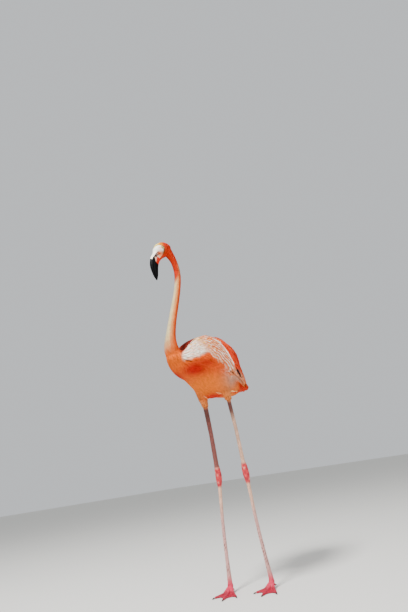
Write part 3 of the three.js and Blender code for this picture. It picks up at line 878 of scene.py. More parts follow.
# %% Vane patterns
def vane_pattern(marks, halves, widths):
    """A closed vane. marks are shares of the length, widths the half width at each."""
    bm = bmesh.new()
    bmesh.ops.create_grid(bm, x_segments=2 * halves, y_segments=len(marks) - 1, size=1)
    bmesh.ops.duplicate(bm, geom=bm.verts[:] + bm.edges[:] + bm.faces[:])
    bm.verts.ensure_lookup_table()
    half_count = len(bm.verts) // 2
    bm.faces.ensure_lookup_table()
    bmesh.ops.reverse_faces(bm, faces=bm.faces[len(bm.faces) // 2:])
    last = len(marks) - 1
    for number, vert in enumerate(bm.verts):
        row = round((vert.co.y + 1) / 2 * last)
        rim = abs(vert.co.x) > 0.999 or row in (0, last)
        across = 0.0 if row in (0, last) else vert.co.x
        sheet = 0.0 if rim else (1.0 if number < half_count else -1.0)
        vert.co = (across, row, sheet)
    bmesh.ops.remove_doubles(bm, verts=bm.verts, dist=1e-4)
    bmesh.ops.triangulate(bm, faces=bm.faces)
    bm.verts.index_update()
    spots = np.array([vert.co for vert in bm.verts])
    faces = np.array([[vert.index for vert in face.verts] for face in bm.faces])
    bm.free()
    rows = spots[:, 1].round().astype(int)
    return {
        "across": spots[:, 0], "row": rows, "sheet": spots[:, 2], "faces": faces,
        "marks": np.array(marks, float), "share": np.array(marks, float)[rows],
        "half": np.array(widths, float)[rows],
    }


DOWN = vane_pattern([0, 0.35, 0.75, 1], 1, [0.3, 0.9, 0.8, 0])
CONTOUR = vane_pattern([0, 0.22, 0.46, 0.72, 0.9, 1], 1, [0.2, 0.7, 1.0, 0.95, 0.6, 0])
for title, pattern in [("down", DOWN), ("contour", CONTOUR)]:
    print(title, "vane has", len(pattern["faces"]), "faces")

# %% [markdown]
# Feathers have to follow the skin closely, thousands of them. A Shrinkwrap modifier on every one
# would be slow, so a search tree over the skin's faces finds the nearest place to any point.

# %% The skin as a search tree
skin_places, skin_normals = mesh_arrays(skin_mesh)
corners = np.empty(len(skin_mesh.loops), np.int32)
skin_mesh.loops.foreach_get("vertex_index", corners)
starts = np.empty(len(skin_mesh.polygons), np.int32)
skin_mesh.polygons.foreach_get("loop_start", starts)
triangle_corners = corners[starts[:, None] + np.arange(3)]
skin_tree = BVHTree.FromPolygons(skin_places.tolist(), triangle_corners.tolist(),
                                 all_triangles=True)
triangle_normals = unit(skin_normals[triangle_corners].mean(1))
triangle_places = skin_places[triangle_corners].mean(1)
first, second, third = (skin_places[triangle_corners[:, k]] for k in range(3))
triangle_areas = np.linalg.norm(np.cross(second - first, third - first), axis=1) / 2
print("skin area", round(triangle_areas.sum() / 1e6, 3), "square metres")

# %% [markdown]
# A trail is made by stepping from the root and dropping back onto the skin after each step. Small
# feathers step in the way the coat lies; long ones head for a goal of their own.

# %% Trails over the skin
def onto_skin(points):
    """The nearest places on the skin, and its normals there."""
    found, faces = np.empty_like(points), np.empty(len(points), int)
    for number, point in enumerate(points.tolist()):
        found[number], _, faces[number], _ = skin_tree.find_nearest(point)
    return found, triangle_normals[faces]


def trails(roots, lengths, marks, ways=None, goals=None):
    """Places and normals along each feather, one for each mark of its length."""
    spot, normal = onto_skin(roots)
    spots, tops = [spot], [normal]
    way = ways
    for gap in np.diff(marks):
        way = unit(flat_on(way if goals is None else goals - spot, normal))
        spot, normal = onto_skin(spot + way * (lengths * gap)[:, None])
        spots.append(spot)
        tops.append(normal)
    return np.stack(spots, 1), np.stack(tops, 1)


trail, _ = trails(shoulder, np.array([20.0]), CONTOUR["marks"], ways=np.array([[0.0, 1, 0]]))
print("a trail from the shoulder ends at", trail[0, -1].round(1).tolist())

# %% [markdown]
# Roots are thrown at random over a part of the skin, evenly by area, and any that falls too near
# one kept before is dropped. A regular grid would be simpler, but its rows would show. Cells as
# wide as the spacing keep the search short, since only neighbouring cells can hold a root so near.

# %% Roots
TRIES_PER_ROOT = 3.2


def scatter(mask, spacing, seed):
    """Roots spread over the masked part of the skin, no two nearer than the spacing."""
    rng = np.random.default_rng(seed)
    weight = triangle_areas * mask
    wanted = int(weight.sum() / spacing ** 2 * TRIES_PER_ROOT)
    picks = rng.choice(len(weight), wanted, p=weight / weight.sum())
    share = rng.random((wanted, 2))
    fold = share.sum(1) > 1
    share[fold] = 1 - share[fold]
    a, b, c = (skin_places[triangle_corners[picks, k]] for k in range(3))
    spots = a + (b - a) * share[:, :1] + (c - a) * share[:, 1:]
    around = [(i, j, k) for i in (-1, 0, 1) for j in (-1, 0, 1) for k in (-1, 0, 1)]
    keys = np.floor(spots / spacing).astype(int).tolist()
    limit = spacing ** 2
    cells, kept = {}, []
    for number, ((i, j, k), (x, y, z)) in enumerate(zip(keys, spots.tolist())):
        near = (other for di, dj, dk in around
                for other in cells.get((i + di, j + dj, k + dk), ()))
        if all((px - x) ** 2 + (py - y) ** 2 + (pz - z) ** 2 >= limit for px, py, pz in near):
            cells.setdefault((i, j, k), []).append((x, y, z))
            kept.append(number)
    return spots[kept], triangle_normals[picks[kept]]


print("roots 20 mm apart all over", len(scatter(np.ones(len(triangle_areas)), 20.0, 1)[0]))

# %% [markdown]
# Every coat piece also carries a map for baking its colours, and there each feather is a tiny
# patch at its root's place on an unrolled skin. The skin is unrolled like a label from a bottle:
# one direction is the distance along the bird's own line, the other the turn round that line.

# %% Unrolled skin
PATCH = 0.003
SPARE_END = 60
TURN_SHARE = 0.9


def unroll(points):
    """Places on the bird to a square map, by the distance along its line and the turn round it."""
    gap = ((points[:, None, :] - SPINE_PLACES[None]) ** 2).sum(2)
    nearest = gap.argmin(1)
    way = SPINE_WAYS[nearest]
    out = points - SPINE_PLACES[nearest]
    reach = nearest * LINE_STEP + (out * way).sum(1)
    back = np.cross(way, np.array([1.0, 0.0, 0.0]))
    turn = np.arctan2(out[:, 0], (out * back).sum(1))
    across = 0.5 + turn / (2 * math.pi) * TURN_SHARE
    along = reach / (SPINE_LENGTH + SPARE_END)
    return np.clip(np.stack([across, 0.02 + 0.95 * along], 1), 0.005, 0.995)


print("the shoulder unrolls to", unroll(shoulder)[0].round(2).tolist())


# %% [markdown]
# Now the feathers themselves. Copying an object for each would fill the scene with thousands of
# them, so the points of one pattern are laid along every trail at once, as arrays. The root of a
# vane sits in the skin. The rest lies on its neighbours' backs, so it climbs gently to the top of
# the coat at its tip, and its edges droop a little, as a real contour feather's do.

# %% Laying: places
ROOT_SUNK = 0.3
DEEPEST_TUCK = 1.8


def vane_places(pattern, spots, tops, widths, rises, rng, thick, camber, wave):
    """Where the pattern's points come to lie along every trail, in millimetres."""
    way = unit(np.gradient(spots, axis=1))
    side = unit(np.cross(way, tops))
    top = np.cross(side, way)
    row, share, across = pattern["row"], pattern["share"], pattern["across"]
    tuck = np.minimum(0.5 * rises, DEEPEST_TUCK)[:, None] * (1 - share)
    lift = (rises[:, None] - tuck) * soft_step(share, 0, 0.22) - ROOT_SUNK * (share < 0.01)
    count = (len(spots), 1)
    turns = share * rng.uniform(4, 9, count) + rng.uniform(0, 6.28, count)
    half = widths[:, None] * pattern["half"]
    breadth = half * across + wave * np.sin(turns) * share
    height = lift - camber * half * across ** 2 + thick * 0.5 * pattern["sheet"]
    return spots[:, row] + side[:, row] * breadth[..., None] + top[:, row] * height[..., None]


print("widest share of a contour vane", CONTOUR["half"].max())

# %% [markdown]
# Colour runs along each feather: darker at the root, where its neighbours shade it, and on some
# feathers paler at the edge or the tip, where the vane is worn.

# %% Laying: colours
ROOT_SHADE = 0.86


def vane_tints(pattern, tints, edge, tip):
    """The colour at each of the pattern's points. edge and tip are a colour and its shares."""
    row, share, across = pattern["row"], pattern["share"], pattern["across"]
    tint = tints[:, row] if tints.ndim == 3 else np.repeat(tints[:, None, :], len(row), 1)
    if edge:
        amount = edge[1][:, None] * np.abs(across) * (share > 0.3)
        tint = tint + (edge[0] - tint) * amount[..., None]
    if tip:
        amount = tip[1][:, None] * soft_step(share, 0.55, 0.95)
        tint = tint + (tip[0] - tint) * amount[..., None]
    shade = ROOT_SHADE + (1 - ROOT_SHADE) * soft_step(share, 0.0, 0.5)
    return tint * shade[None, :, None]


print("a root keeps", ROOT_SHADE, "of its colour")

# %% [markdown]
# All the vanes of a piece are joined into one mesh, with two maps: OFBake for the baked colours,
# and Vane, which runs from 0 to 1 across and along each feather for its barbs.

# %% Laying: one mesh
def lay(name, pattern, spots, tops, widths, rises, tints, thick=0.35, camber=0.16,
        edge=None, tip=None, seed=1, wave=0.0):
    """Joins one feather for each trail. Returns the object. All lengths are in millimetres.
    tints holds one colour for each feather, or one for each mark along each feather."""
    count, points_each = len(spots), len(pattern["row"])
    rng = np.random.default_rng(seed)
    points = vane_places(pattern, spots, tops, widths, rises, rng, thick, camber, wave)
    shifts = (np.arange(count) * points_each)[:, None, None]
    faces = (pattern["faces"][None] + shifts).reshape(-1, 3)
    mesh = bpy.data.meshes.new(name)
    mesh.vertices.add(count * points_each)
    mesh.vertices.foreach_set("co", to_frame(points.reshape(-1, 3)).astype(np.float32).ravel())
    mesh.loops.add(faces.size)
    mesh.loops.foreach_set("vertex_index", faces.astype(np.int32).ravel())
    mesh.polygons.add(len(faces))
    mesh.polygons.foreach_set("loop_start", np.arange(0, faces.size, 3, dtype=np.int32))
    mesh.update(calc_edges=True)
    write_colours(mesh, vane_tints(pattern, tints, edge, tip).reshape(-1, 3))
    own = np.stack([pattern["across"] * 0.5, pattern["share"] - 0.5], 1)
    bake = unroll(spots[:, 0])[:, None, :] + PATCH * own
    vane = np.repeat(own[None] + 0.5, count, 0)
    for title, spread in [("OFBake", bake), ("Vane", vane)]:
        layer = mesh.uv_layers.new(name=title)
        corner_places = spread.reshape(-1, 2)[faces.ravel()]
        layer.data.foreach_set("uv", corner_places.astype(np.float32).ravel())
    print(name, count, "feathers", len(faces), "faces")
    return shown(name, mesh)


print("patch of one feather", PATCH, "of the map")

# %% [markdown]
# Barbs run slantwise from a feather's shaft. Each could be cut in the mesh, at a hundred times the
# faces, so a wave on the vane's own map draws them as a bump.

# %% Feather material
def plume_material(name):
    made, tree, shader = node_material(name, roughness=0.75, gloss=0.12)
    tree.links.new(varied(tree, object_place(tree), 90, 0.9, 1.08), shader.inputs["Base Color"])
    own = node(tree, "ShaderNodeUVMap", uv_map="Vane").outputs["UV"]
    slant = node(tree, "ShaderNodeMapping", {"Vector": own}, Scale=(3.0, 1.0, 1.0))
    barbs = node(tree, "ShaderNodeTexWave", {"Vector": slant.outputs["Vector"]},
                 Scale=9.0, Distortion=1.5)
    bump(tree, shader, barbs.outputs["Fac"], 0.0004, 0.5)
    return made


SOFT_PLUME = plume_material("SoftPlume")
BODY_PLUME = plume_material("BodyPlume")


def dress(made, material):
    """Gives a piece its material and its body."""
    made.data.materials.append(material)
    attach(made, BODY)
    return made


print("plume materials", SOFT_PLUME.name, BODY_PLUME.name)

# %% [markdown]
# Small feathers cover the head and neck, larger ones the trunk and thighs. Each zone is a mask
# over the skin's faces. The folded wings are a zone of their own, found by measuring to the
# wings' solids; the feathers of the flank lap over their lower edge. Nothing small grows at the
# rear where the solids of the long feathers lie, because long feathers cover the skin there.

# %% Zones of the coat
WING_NEAR = 9.0
FAN_NEAR = 3.0
REAR_START = 128

feathered = coat_depth(triangle_places) > 0.25
height_of = triangle_places[:, 2]
on_neck = neck_share(triangle_places)
neck_zone = feathered & (on_neck > 0.5)


def solid_tree(node_name):
    """A search tree over a solid's faces, in the bird's own millimetres."""
    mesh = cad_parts[node_name].data
    spots = [tuple(to_bird(np.array(v.co))) for v in mesh.vertices]
    return BVHTree.FromPolygons(spots, [tuple(p.vertices) for p in mesh.polygons])


wing_tree = {side: solid_tree(f"wing_{side}") for side in ("right", "left")}


def on_wing(points):
    """True where the solid of the wing on the same side is near."""
    hit = np.zeros(len(points), bool)
    for number, point in enumerate(points.tolist()):
        tree = wing_tree["left" if point[0] > 0 else "right"]
        hit[number] = tree.find_nearest(point, WING_NEAR)[0] is not None
    return hit


wing_zone = feathered & (on_neck < 0.5) & (height_of > 600)
wing_zone[wing_zone] = on_wing(triangle_places[wing_zone])
wing_zone &= height_of > np.interp(triangle_places[:, 1], *WING_EDGE) - 8
body_zone = feathered & (on_neck < 0.9) & ~wing_zone
fan_trees = [solid_tree(fan) for fan in FANS]
for number in np.flatnonzero(body_zone & (triangle_places[:, 1] > REAR_START)).tolist():
    place = triangle_places[number].tolist()
    body_zone[number] = all(tree.find_nearest(place, FAN_NEAR)[0] is None for tree in fan_trees)
print("faces of skin on the neck", int(neck_zone.sum()), "wings", int(wing_zone.sum()))

# %% [markdown]
# One function grows every zone of small feathers, with the zone's own spacing, length and width,
# so that they overlap like tiles. Each feather takes the marking of the place where its tip comes
# out on top of the coat, and differs a little from its neighbours in size, way and shade.

# %% Contour feathers
def swayed(ways, normals, spread, rng):
    """The same ways, each turned a little to one side or the other."""
    return ways + np.cross(ways, normals) * rng.normal(0, spread, (len(ways), 1))


def contour_coat(name, zone, spacing, length, width, pattern, material, seed,
                 wing_share=0.0, thick=0.2, camber=0.07):
    roots, normals = scatter(zone, spacing, seed)
    rng = np.random.default_rng(seed + 50)
    ways = swayed(lie_of_coat(roots, normals, wing_share), normals, 0.06, rng)
    scale = rng.uniform(0.85, 1.15, len(roots))
    short = 0.5 + 0.5 * soft_step(roots[:, 2], 584, 626)
    lengths, widths = length * scale * short, width * rng.uniform(0.9, 1.1, len(roots))
    spots, tops = trails(roots, lengths, pattern["marks"], ways=ways)
    rises = coat_depth(roots) * rng.uniform(0.95, 1.04, len(roots))
    tints = plumage((spots + tops * rises[:, None, None]).reshape(-1, 3),
                    tops.reshape(-1, 3)).reshape(spots.shape)
    tints = tints * rng.uniform(0.93, 1.06, (len(roots), 1, 1))
    made = lay(name, pattern, spots, tops, widths, rises, tints, thick=thick, seed=seed,
               camber=camber)
    return dress(made, material)


contour_coat("plumes_head", neck_zone & (height_of > 1090), spacing=1.35, length=5.5, width=1.05,
             pattern=DOWN, material=SOFT_PLUME, seed=11, thick=0.14,
             camber=0.05)
contour_coat("plumes_neck", neck_zone & (height_of <= 1090), spacing=1.7, length=9.5, width=1.4,
             pattern=DOWN, material=SOFT_PLUME, seed=12, thick=0.16,
             camber=0.05)
contour_coat("plumes_body", body_zone & (height_of > LEG_TOP), spacing=2.8, length=19.0,
             width=2.6, pattern=CONTOUR, material=BODY_PLUME, seed=13,
             wing_share=2.0, thick=0.22)
contour_coat("plumes_thigh", body_zone & (height_of <= LEG_TOP), spacing=2.3, length=12.5,
             width=1.8, pattern=CONTOUR, material=BODY_PLUME, seed=14)

# %% [markdown]
# The bill is horn over bone, ivory at the root, red under the mouth and black from the bend to
# the tip. The border of the black runs in steps, and a curve that gives its height at each
# distance from the mouth line draws them sharper than any blend of patches would.

# %% Colours of the bill
BILL_BLACK = colour(4, 3, 4)
BILL_IVORY = colour(255, 244, 228)
BILL_ROSE = colour(244, 130, 76)
BILL_RED = colour(214, 34, 10)
BLACK_EDGE = ([-24, -15, -9, -6, -2, 3, 4.8, 6.6, 9, 12],
              [1108, 1111, 1117, 1126, 1133, 1136, 1137, 1127, 1129, 1133])


def mouth_gap(points):
    """How far ahead of the mouth line places lie: above it in the upper half of the bill."""
    f, h, _ = head_frame(points).T
    return f - np.interp(h, *MOUTH)


def bill_colour(points):
    """Ivory at the root, red below the mouth, black from the bend to the tip."""
    f, h, _ = head_frame(points).T
    gap = mouth_gap(points)
    base = np.tile(BILL_IVORY, (len(points), 1))
    base = paint(base, BILL_ROSE, head_patch(f, h, (78, 1150), (13, 13)) * 1.1)
    base = paint(base, BILL_ROSE, soft_step(-gap, -1, 4) * 0.55)
    base = paint(base, BILL_RED, soft_step(-gap, 8, 13) * (1 - soft_step(h, 1136, 1146)))
    # Painted shade in the mouth and its fold.
    base = paint(base, GAP_SHADE_BROWN, mouth_shade(f, h))
    edge = np.interp(gap, *BLACK_EDGE) + 0.8 * ripple(points, 6, 3)
    return paint(base, BILL_BLACK, 1 - soft_step(h, edge - 0.8, edge + 0.8))


print("black starts", BLACK_EDGE[1][0], "to", max(BLACK_EDGE[1]), "mm up")

# %% [markdown]
# A flamingo strains its food through fine combs along the edges of the bill, and breathes through
# a long slit in the upper half. Cutting these with booleans would need a tool for every comb, so
# the points of a fine even net are pushed in and out instead. Smoothing shortens the tip a
# little, and the last of these moves draws it out again.

# %% Relief of the bill
NOSTRIL = {"middle": (88.0, 1150.0), "long": 6.5, "high": 1.1, "slope": math.radians(-58)}
COMB_PITCH = 1.7
ROOT_SLOPE, ROOT_AT = 0.335, (101.3, 1145)


def nostril_slit(f, h, o):
    """1 in the slit of the nostril, on both flanks."""
    df, dh = f - NOSTRIL["middle"][0], h - NOSTRIL["middle"][1]
    cos, sin = math.cos(NOSTRIL["slope"]), math.sin(NOSTRIL["slope"])
    along, beside = df * cos + dh * sin, dh * cos - df * sin
    slit = np.exp(-(along / NOSTRIL["long"]) ** 4 - (beside / NOSTRIL["high"]) ** 2)
    return slit * soft_step(np.abs(o), 3, 6)


def bill_relief(points, is_upper):
    """How far the horn stands out: cut edge, combs, ridge and nostril, in millimetres."""
    f, h, o = head_frame(points).T
    gap = mouth_gap(points) if is_upper else -mouth_gap(points)
    edge = np.exp(-(gap / 1.6) ** 2) * soft_step(np.abs(o), 3, 6)
    combs = 0.35 * np.cos(h * 2 * math.pi / COMB_PITCH) * np.exp(-(gap - 0.8) ** 2)
    push = -0.55 * edge + combs * soft_step(np.abs(o), 4, 7) * soft_step(1150 - h, 0, 8)
    if is_upper:
        push = push + 0.5 * np.exp(-(o / 2.6) ** 2) * soft_step(gap, 5, 9)
        push = push - 1.5 * nostril_slit(f, h, o)
    return push + 0.12 * ripple(points * np.array([1, 1, 0.3]), 5, 8)


def under_skin(points, normals):
    """The bill's root reaches a little way under the skin of the face, so that no gap shows."""
    f, h, _ = head_frame(points).T
    lean = 1 / math.hypot(1, ROOT_SLOPE)
    height = (h - ROOT_AT[1] - ROOT_SLOPE * (f - ROOT_AT[0])) * lean
    inside = soft_step(height, -2.6, -0.8)[:, None]
    rearward = head_point(0, 0) - head_point(1, 0)
    inward = lean * (np.array([0, 0, 1.0]) + ROOT_SLOPE * rearward)
    return inside * (3.0 * inward - 0.3 * normals)


def tip_reach(points):
    """The last part of the bill is drawn out a little, because smoothing shortens it."""
    down = soft_step(1092 - points[:, 2], 0, 52)[:, None]
    return down * (np.array([0, 0, -4.5]) + 2.4 * (head_point(0, 0) - head_point(1, 0)))


print("nostril", 2 * NOSTRIL["long"], "mm long, combs every", COMB_PITCH, "mm")

# %% [markdown]
# Each half starts as a copy of its solid, wrapped in a fine net and smoothed. Horn is laid down in
# long fibres, so its noise is stretched along the bill, and it shines less than wet skin.

# %% Bill
BILL_NET = 0.75 * MM


def bill_half(name, is_upper):
    node_name = f"bill_{name}"
    mesh = applied(
        f"horn_{node_name}", copy_of(node_name),
        ("REMESH", {"mode": "VOXEL", "voxel_size": BILL_NET}),
        ("LAPLACIANSMOOTH", {"iterations": 4, "lambda_factor": 1.0,
                             "use_volume_preserve": True}),
    )
    places, normals = mesh_arrays(mesh)
    tints = bill_colour(places)
    if is_upper:
        # Painted shade in the nostril's slit.
        tints = paint(tints, GAP_SHADE_BROWN, nostril_slit(*head_frame(places).T) * 0.7)
    moved = places + normals * bill_relief(places, is_upper)[:, None]
    moved = moved + root_of_bill(places) + tip_reach(places)
    set_places(mesh, moved + under_skin(places, normals))
    write_colours(mesh, tints)
    made = shown(f"horn_{node_name}", mesh)
    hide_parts(node_name)
    print(made.name, len(mesh.polygons), "faces")
    return made


def horn_material(name, roughness, streak):
    made, tree, shader = node_material(name, roughness=roughness, gloss=0.07)
    place = object_place(tree, (1, 1, 0.15))
    tree.links.new(varied(tree, place, streak, 0.88, 1.06), shader.inputs["Base Color"])
    grain(tree, shader, place, streak * 3, 0.0003, 0.35)
    return made


HORN = horn_material("BillHorn", 0.5, 220)
for half_name, upper_half in [("upper", True), ("lower", False)]:
    dress(bill_half(half_name, upper_half), HORN)

# %% [markdown]
# A flamingo's eye is small, pale yellow and looks outwards and a little ahead. Each is a ball whose
# pole looks that way, so its rings of points carry the round pupil and the iris with a clean edge,
# which a patch of colour on an even net would not give. The clear front bulges a little.

# %% Eyeballs
EYE = {"radius": 6.5, "forward": 58, "height": 1179, "outward": 18.4}
EYE_AHEAD = math.radians(12)
PUPIL, IRIS = math.radians(31), math.radians(50)
IRIS_YELLOW = colour(250, 226, 110)
PUPIL_BLACK = colour(8, 8, 6)
EYE_RIM = colour(120, 84, 30)
EYE_DARK = colour(70, 40, 26)


def eye_axes(side):
    """The eye's middle, and a turn that carries the pole of a ball to the way it looks."""
    middle = head_point(EYE["forward"], EYE["height"], side * EYE["outward"])
    out = head_point(0, 0, side) - head_point(0, 0, 0)
    ahead = head_point(1, 0, 0) - head_point(0, 0, 0)
    look = Vector(out * math.cos(EYE_AHEAD) + ahead * math.sin(EYE_AHEAD))
    return middle, look.to_track_quat("Z", "Y").to_matrix()


def polar_angle(bm):
    return np.array([math.acos(max(-1, min(1, v.co.z / v.co.length))) for v in bm.verts])


def placed(bm, side, name):
    """Turns and moves a ball's bmesh to the eye's place on one side, and shows it."""
    middle, turn = eye_axes(side)
    bmesh.ops.rotate(bm, matrix=turn, verts=bm.verts)
    bmesh.ops.translate(bm, vec=Vector(middle), verts=bm.verts)
    mesh = bpy.data.meshes.new(name)
    bm.to_mesh(mesh)
    bm.free()
    set_places(mesh, np.array([v.co for v in mesh.vertices]))
    return shown(name, mesh)


def eyeball(name, side):
    bm = bmesh.new()
    bmesh.ops.create_uvsphere(bm, u_segments=40, v_segments=32, radius=EYE["radius"])
    angle = polar_angle(bm)
    for vert, around in zip(bm.verts, angle):
        vert.co *= 1 + 0.06 * (1 - float(soft_step(around, 0.2, 0.75)))
    tints = np.tile(EYE_DARK, (len(angle), 1))
    tints = paint(tints, IRIS_YELLOW, 1 - soft_step(angle, IRIS - 0.04, IRIS + 0.04))
    tints = paint(tints, EYE_RIM, np.exp(-((angle - IRIS) / 0.08) ** 2) * 0.6)
    tints = paint(tints, PUPIL_BLACK, 1 - soft_step(angle, PUPIL - 0.03, PUPIL + 0.03))
    made = placed(bm, side, f"eyeball_{name}")
    write_colours(made.data, tints)
    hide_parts(f"eye_{name}")
    return made


print("eyes", EYE["radius"] * 2, "mm across")

# %% [markdown]
# Two soft folds of bare skin close round each eye as lids. They start as a slightly larger ball
# with a round opening cut in front, whose margin is raised and whose outer fold is sunk and
# darkened with painted shade, and Solidify gives them their thickness.

# %% Lids
LID_OPENING, LID_FOLD, LID_REAR = math.radians(52), 1.15, math.radians(92)
LID_GAP, LID_THICKNESS = 0.55, 0.45
LID_IVORY = colour(255, 240, 196)
LID_MARGIN = colour(134, 98, 44)


def beside_ring(angle, ring, width):
    """1 on a ring round the way the eye looks, falling to 0 beside it."""
    return np.exp(-((angle - ring) / width) ** 2)


def eyelids(name, side):
    bm = bmesh.new()
    bmesh.ops.create_uvsphere(bm, u_segments=40, v_segments=44, radius=EYE["radius"] + LID_GAP)
    outside = [v for v, around in zip(bm.verts, polar_angle(bm))
               if around < LID_OPENING - 0.05 or around > LID_REAR]
    bmesh.ops.delete(bm, geom=outside, context="VERTS")
    bmesh.ops.recalc_face_normals(bm, faces=bm.faces)
    for vert, around in zip(bm.verts, polar_angle(bm)):
        rim, fold = beside_ring(around, LID_OPENING, 0.10), beside_ring(around, LID_FOLD, 0.09)
        vert.co *= float(1 + 0.045 * rim - 0.03 * fold)
        vert.co.y *= 0.97
    bmesh.ops.solidify(bm, geom=bm.faces[:], thickness=LID_THICKNESS)
    angle = polar_angle(bm)
    tints = np.tile(LID_IVORY, (len(angle), 1))
    tints = paint(tints, LID_MARGIN, beside_ring(angle, LID_OPENING, 0.10) * 0.9)
    # Painted shade in the sunk fold of the lids.
    tints = paint(tints, SHADE_OLIVE, beside_ring(angle, LID_FOLD, 0.10) * 0.5)
    made = placed(bm, side, f"lids_{name}")
    write_colours(made.data, tints)
    return made


def eye_material():
    """Wet and clear: a smooth surface under a thin clear coat."""
    made, tree, shader = node_material("EyeClear", roughness=0.06, gloss=0.5, coat=0.4)
    tint = varied(tree, object_place(tree), 900, 0.85, 1.1)
    tree.links.new(tint, shader.inputs["Base Color"])
    return made


EYE_CLEAR = eye_material()
for eye_name, eye_side in [("right", -1), ("left", 1)]:
    dress(eyeball(eye_name, eye_side), EYE_CLEAR)
    dress(eyelids(eye_name, eye_side), FACE_SKIN)
print("lids open", round(math.degrees(2 * LID_OPENING)), "degrees of the eye")

# %% [markdown]
# The claws are short blunt nails of dark horn. Their solids have flat facets, and Subdivision
# Surface rounds a copy of them. One mesh holds all eight, because they share one finish.

# %% Claws
CLAWS = [f"claw_{side}_{toe}" for side in ("right", "left")
         for toe in ("outer", "middle", "inner", "hind")]
NAIL_DARK = colour(54, 34, 36)
NAIL_ROSE = colour(120, 70, 70)

nail_mesh = applied("claws", joined(CLAWS), ("SUBSURF", {"levels": 2, "render_levels": 2}))
places, _ = mesh_arrays(nail_mesh)
nail_tints = np.tile(NAIL_DARK, (len(places), 1))
write_colours(nail_mesh, paint(nail_tints, NAIL_ROSE, soft_step(places[:, 2], 2, 6)))
nails = shown("claws", nail_mesh)
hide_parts(*CLAWS)
dress(nails, horn_material("ClawHorn", 0.4, 500))
print("claws", len(CLAWS))

# %% [markdown]
# The wing's coverts lie in curved rows. A stripe number, counted across the wing's own line, lets
# neighbours in one row share a tint, so that pale, rosy and orange streaks run along the wing.
# Streaks painted by chance, feather by feather, would look like noise. Single amber feathers fleck
# the shoulder: each takes the feather nearest to its place.

# %% Colours of the wing coverts
STRIPE_PITCH, WAVER_PITCH = 13, 46
STRIPE_OUTWARD = np.array([0.8, 0.0, 0.6])
FLECK_GOLD = colour(255, 186, 0)
FLECKS = [(52, -147, 785), (59, -149, 774), (61, -130, 791), (72, -139, 762), (74, -112, 776),
          (61, -169, 751), (62, -96, 800), (47, -128, 800), (80, -96, 768), (55, -162, 765)]


def stripe(points):
    """A wave that runs across the rows of the folded wing, -1 to 1."""
    near = both_sides(points)
    line, ways = along_line(WING_LINE)
    nearest = ((near[:, None, :] - line[None]) ** 2).sum(2).argmin(1)
    across = ((near - line[nearest]) * np.cross(ways[nearest], STRIPE_OUTWARD)).sum(1)
    along = nearest * LINE_STEP
    bend = 1.1 * np.sin(along * 2 * math.pi / WAVER_PITCH) + 0.8 * ripple(near, 30, 9)
    return np.sin(across * 2 * math.pi / STRIPE_PITCH + bend)


def wing_tints(spots, tops, rng):
    """Each covert takes the colours of its place, with streaks, flecks and a warm upper edge."""
    count, rows = spots.shape[:2]
    flat, flat_tops = spots.reshape(-1, 3), tops.reshape(-1, 3)
    near = both_sides(flat)
    _, y, z = near.T
    tints = plumage(flat, flat_tops)
    # pale is the pale part of the wing, which carries painted sunlight.
    pale = pale_and_sunlit_wing(near)
    draw = np.repeat(rng.random(count), rows)
    wave = stripe(flat) + np.repeat(rng.normal(0, 0.3, count), rows)
    streaky = pale * soft_step(y, -125, -80)
    tints = paint(tints, IVORY, streaky * soft_step(wave, 0.45, 0.75) * 0.9)
    tints = paint(tints, ORANGE, streaky * soft_step(-wave, 0.15, 0.5) * 0.8)
    tints = paint(tints, TANGERINE, (draw > 0.5) * soft_step(z, 786, 798) * pale * 0.9)
    tints = paint(tints, BLUSH, (draw > 0.7) * pale * (1 - streaky) * 0.8)
    rear = patch(near, (98, -16, 684), (22, 28, 26))
    tints = paint(tints, SHELL, rear * soft_step(wave, 0.1, 0.5) * 0.8)
    chosen = np.zeros((count, rows))
    for side in (-1, 1):
        flecks = np.array(mirrored(FLECKS, side), float)
        gaps = np.linalg.norm(spots[:, None, -3] - flecks, axis=2)
        chosen[gaps.argmin(0), 3:] = 1
    return paint(tints, FLECK_GOLD, chosen.ravel()).reshape(spots.shape)


print("flecks on each wing", len(FLECKS))

# %% [markdown]
# The coverts are the largest of the small feathers, and grow longer towards the rear, where they
# pass over into the flight feathers. A wave in each edge keeps them from looking like tiles.

# %% Wing coverts
def wing_coat(name, zone, spacing, length, width, seed):
    roots, normals = scatter(zone, spacing, seed)
    rng = np.random.default_rng(seed + 50)
    ways = swayed(lie_of_coat(roots, normals, 14.0), normals, 0.05, rng)
    rear = soft_step(roots[:, 1], -110, 0)
    lengths = length * (1 + 0.5 * rear) * rng.uniform(0.9, 1.1, len(roots))
    widths = width * rng.uniform(0.9, 1.1, len(roots))
    spots, tops = trails(roots, lengths, CONTOUR["marks"], ways=ways)
    rises = coat_depth(roots) * rng.uniform(0.96, 1.06, len(roots))
    tints = wing_tints(spots + tops * rises[:, None, None], tops, rng)
    tints = tints * rng.uniform(0.95, 1.03, (len(roots), 1, 1))
    made = lay(name, CONTOUR, spots, tops, widths, rises, tints, thick=0.3, seed=seed, camber=0.1,
               wave=0.9)
    return dress(made, BODY_PLUME)


wing_coat("plumes_wing", wing_zone, spacing=3.5, length=25.0, width=3.6, seed=21)

# %% [markdown]
# Long red feathers hang over the rear edge of each folded wing and hide the black flight feathers,
# of which only the tips show above the tail. They are laid in three ways, as each lies on the real
# bird: towards a goal over the skin, beside a guide line like the strands of a braid, or round a
# spine like the leaves of a sheaf. Their bends are eased, because a shaft is springy.

# %% Trails of long feathers
LONG_MARKS = [0, 0.1, 0.22, 0.36, 0.5, 0.64, 0.78, 0.9, 0.97, 1]
LONG = vane_pattern(LONG_MARKS, 2, [0.15, 0.5, 0.8, 0.95, 1, 0.95, 0.85, 0.6, 0.35, 0])
BROAD = vane_pattern(LONG_MARKS, 2, [0.15, 0.4, 0.7, 0.9, 1, 1, 0.98, 0.85, 0.55, 0])


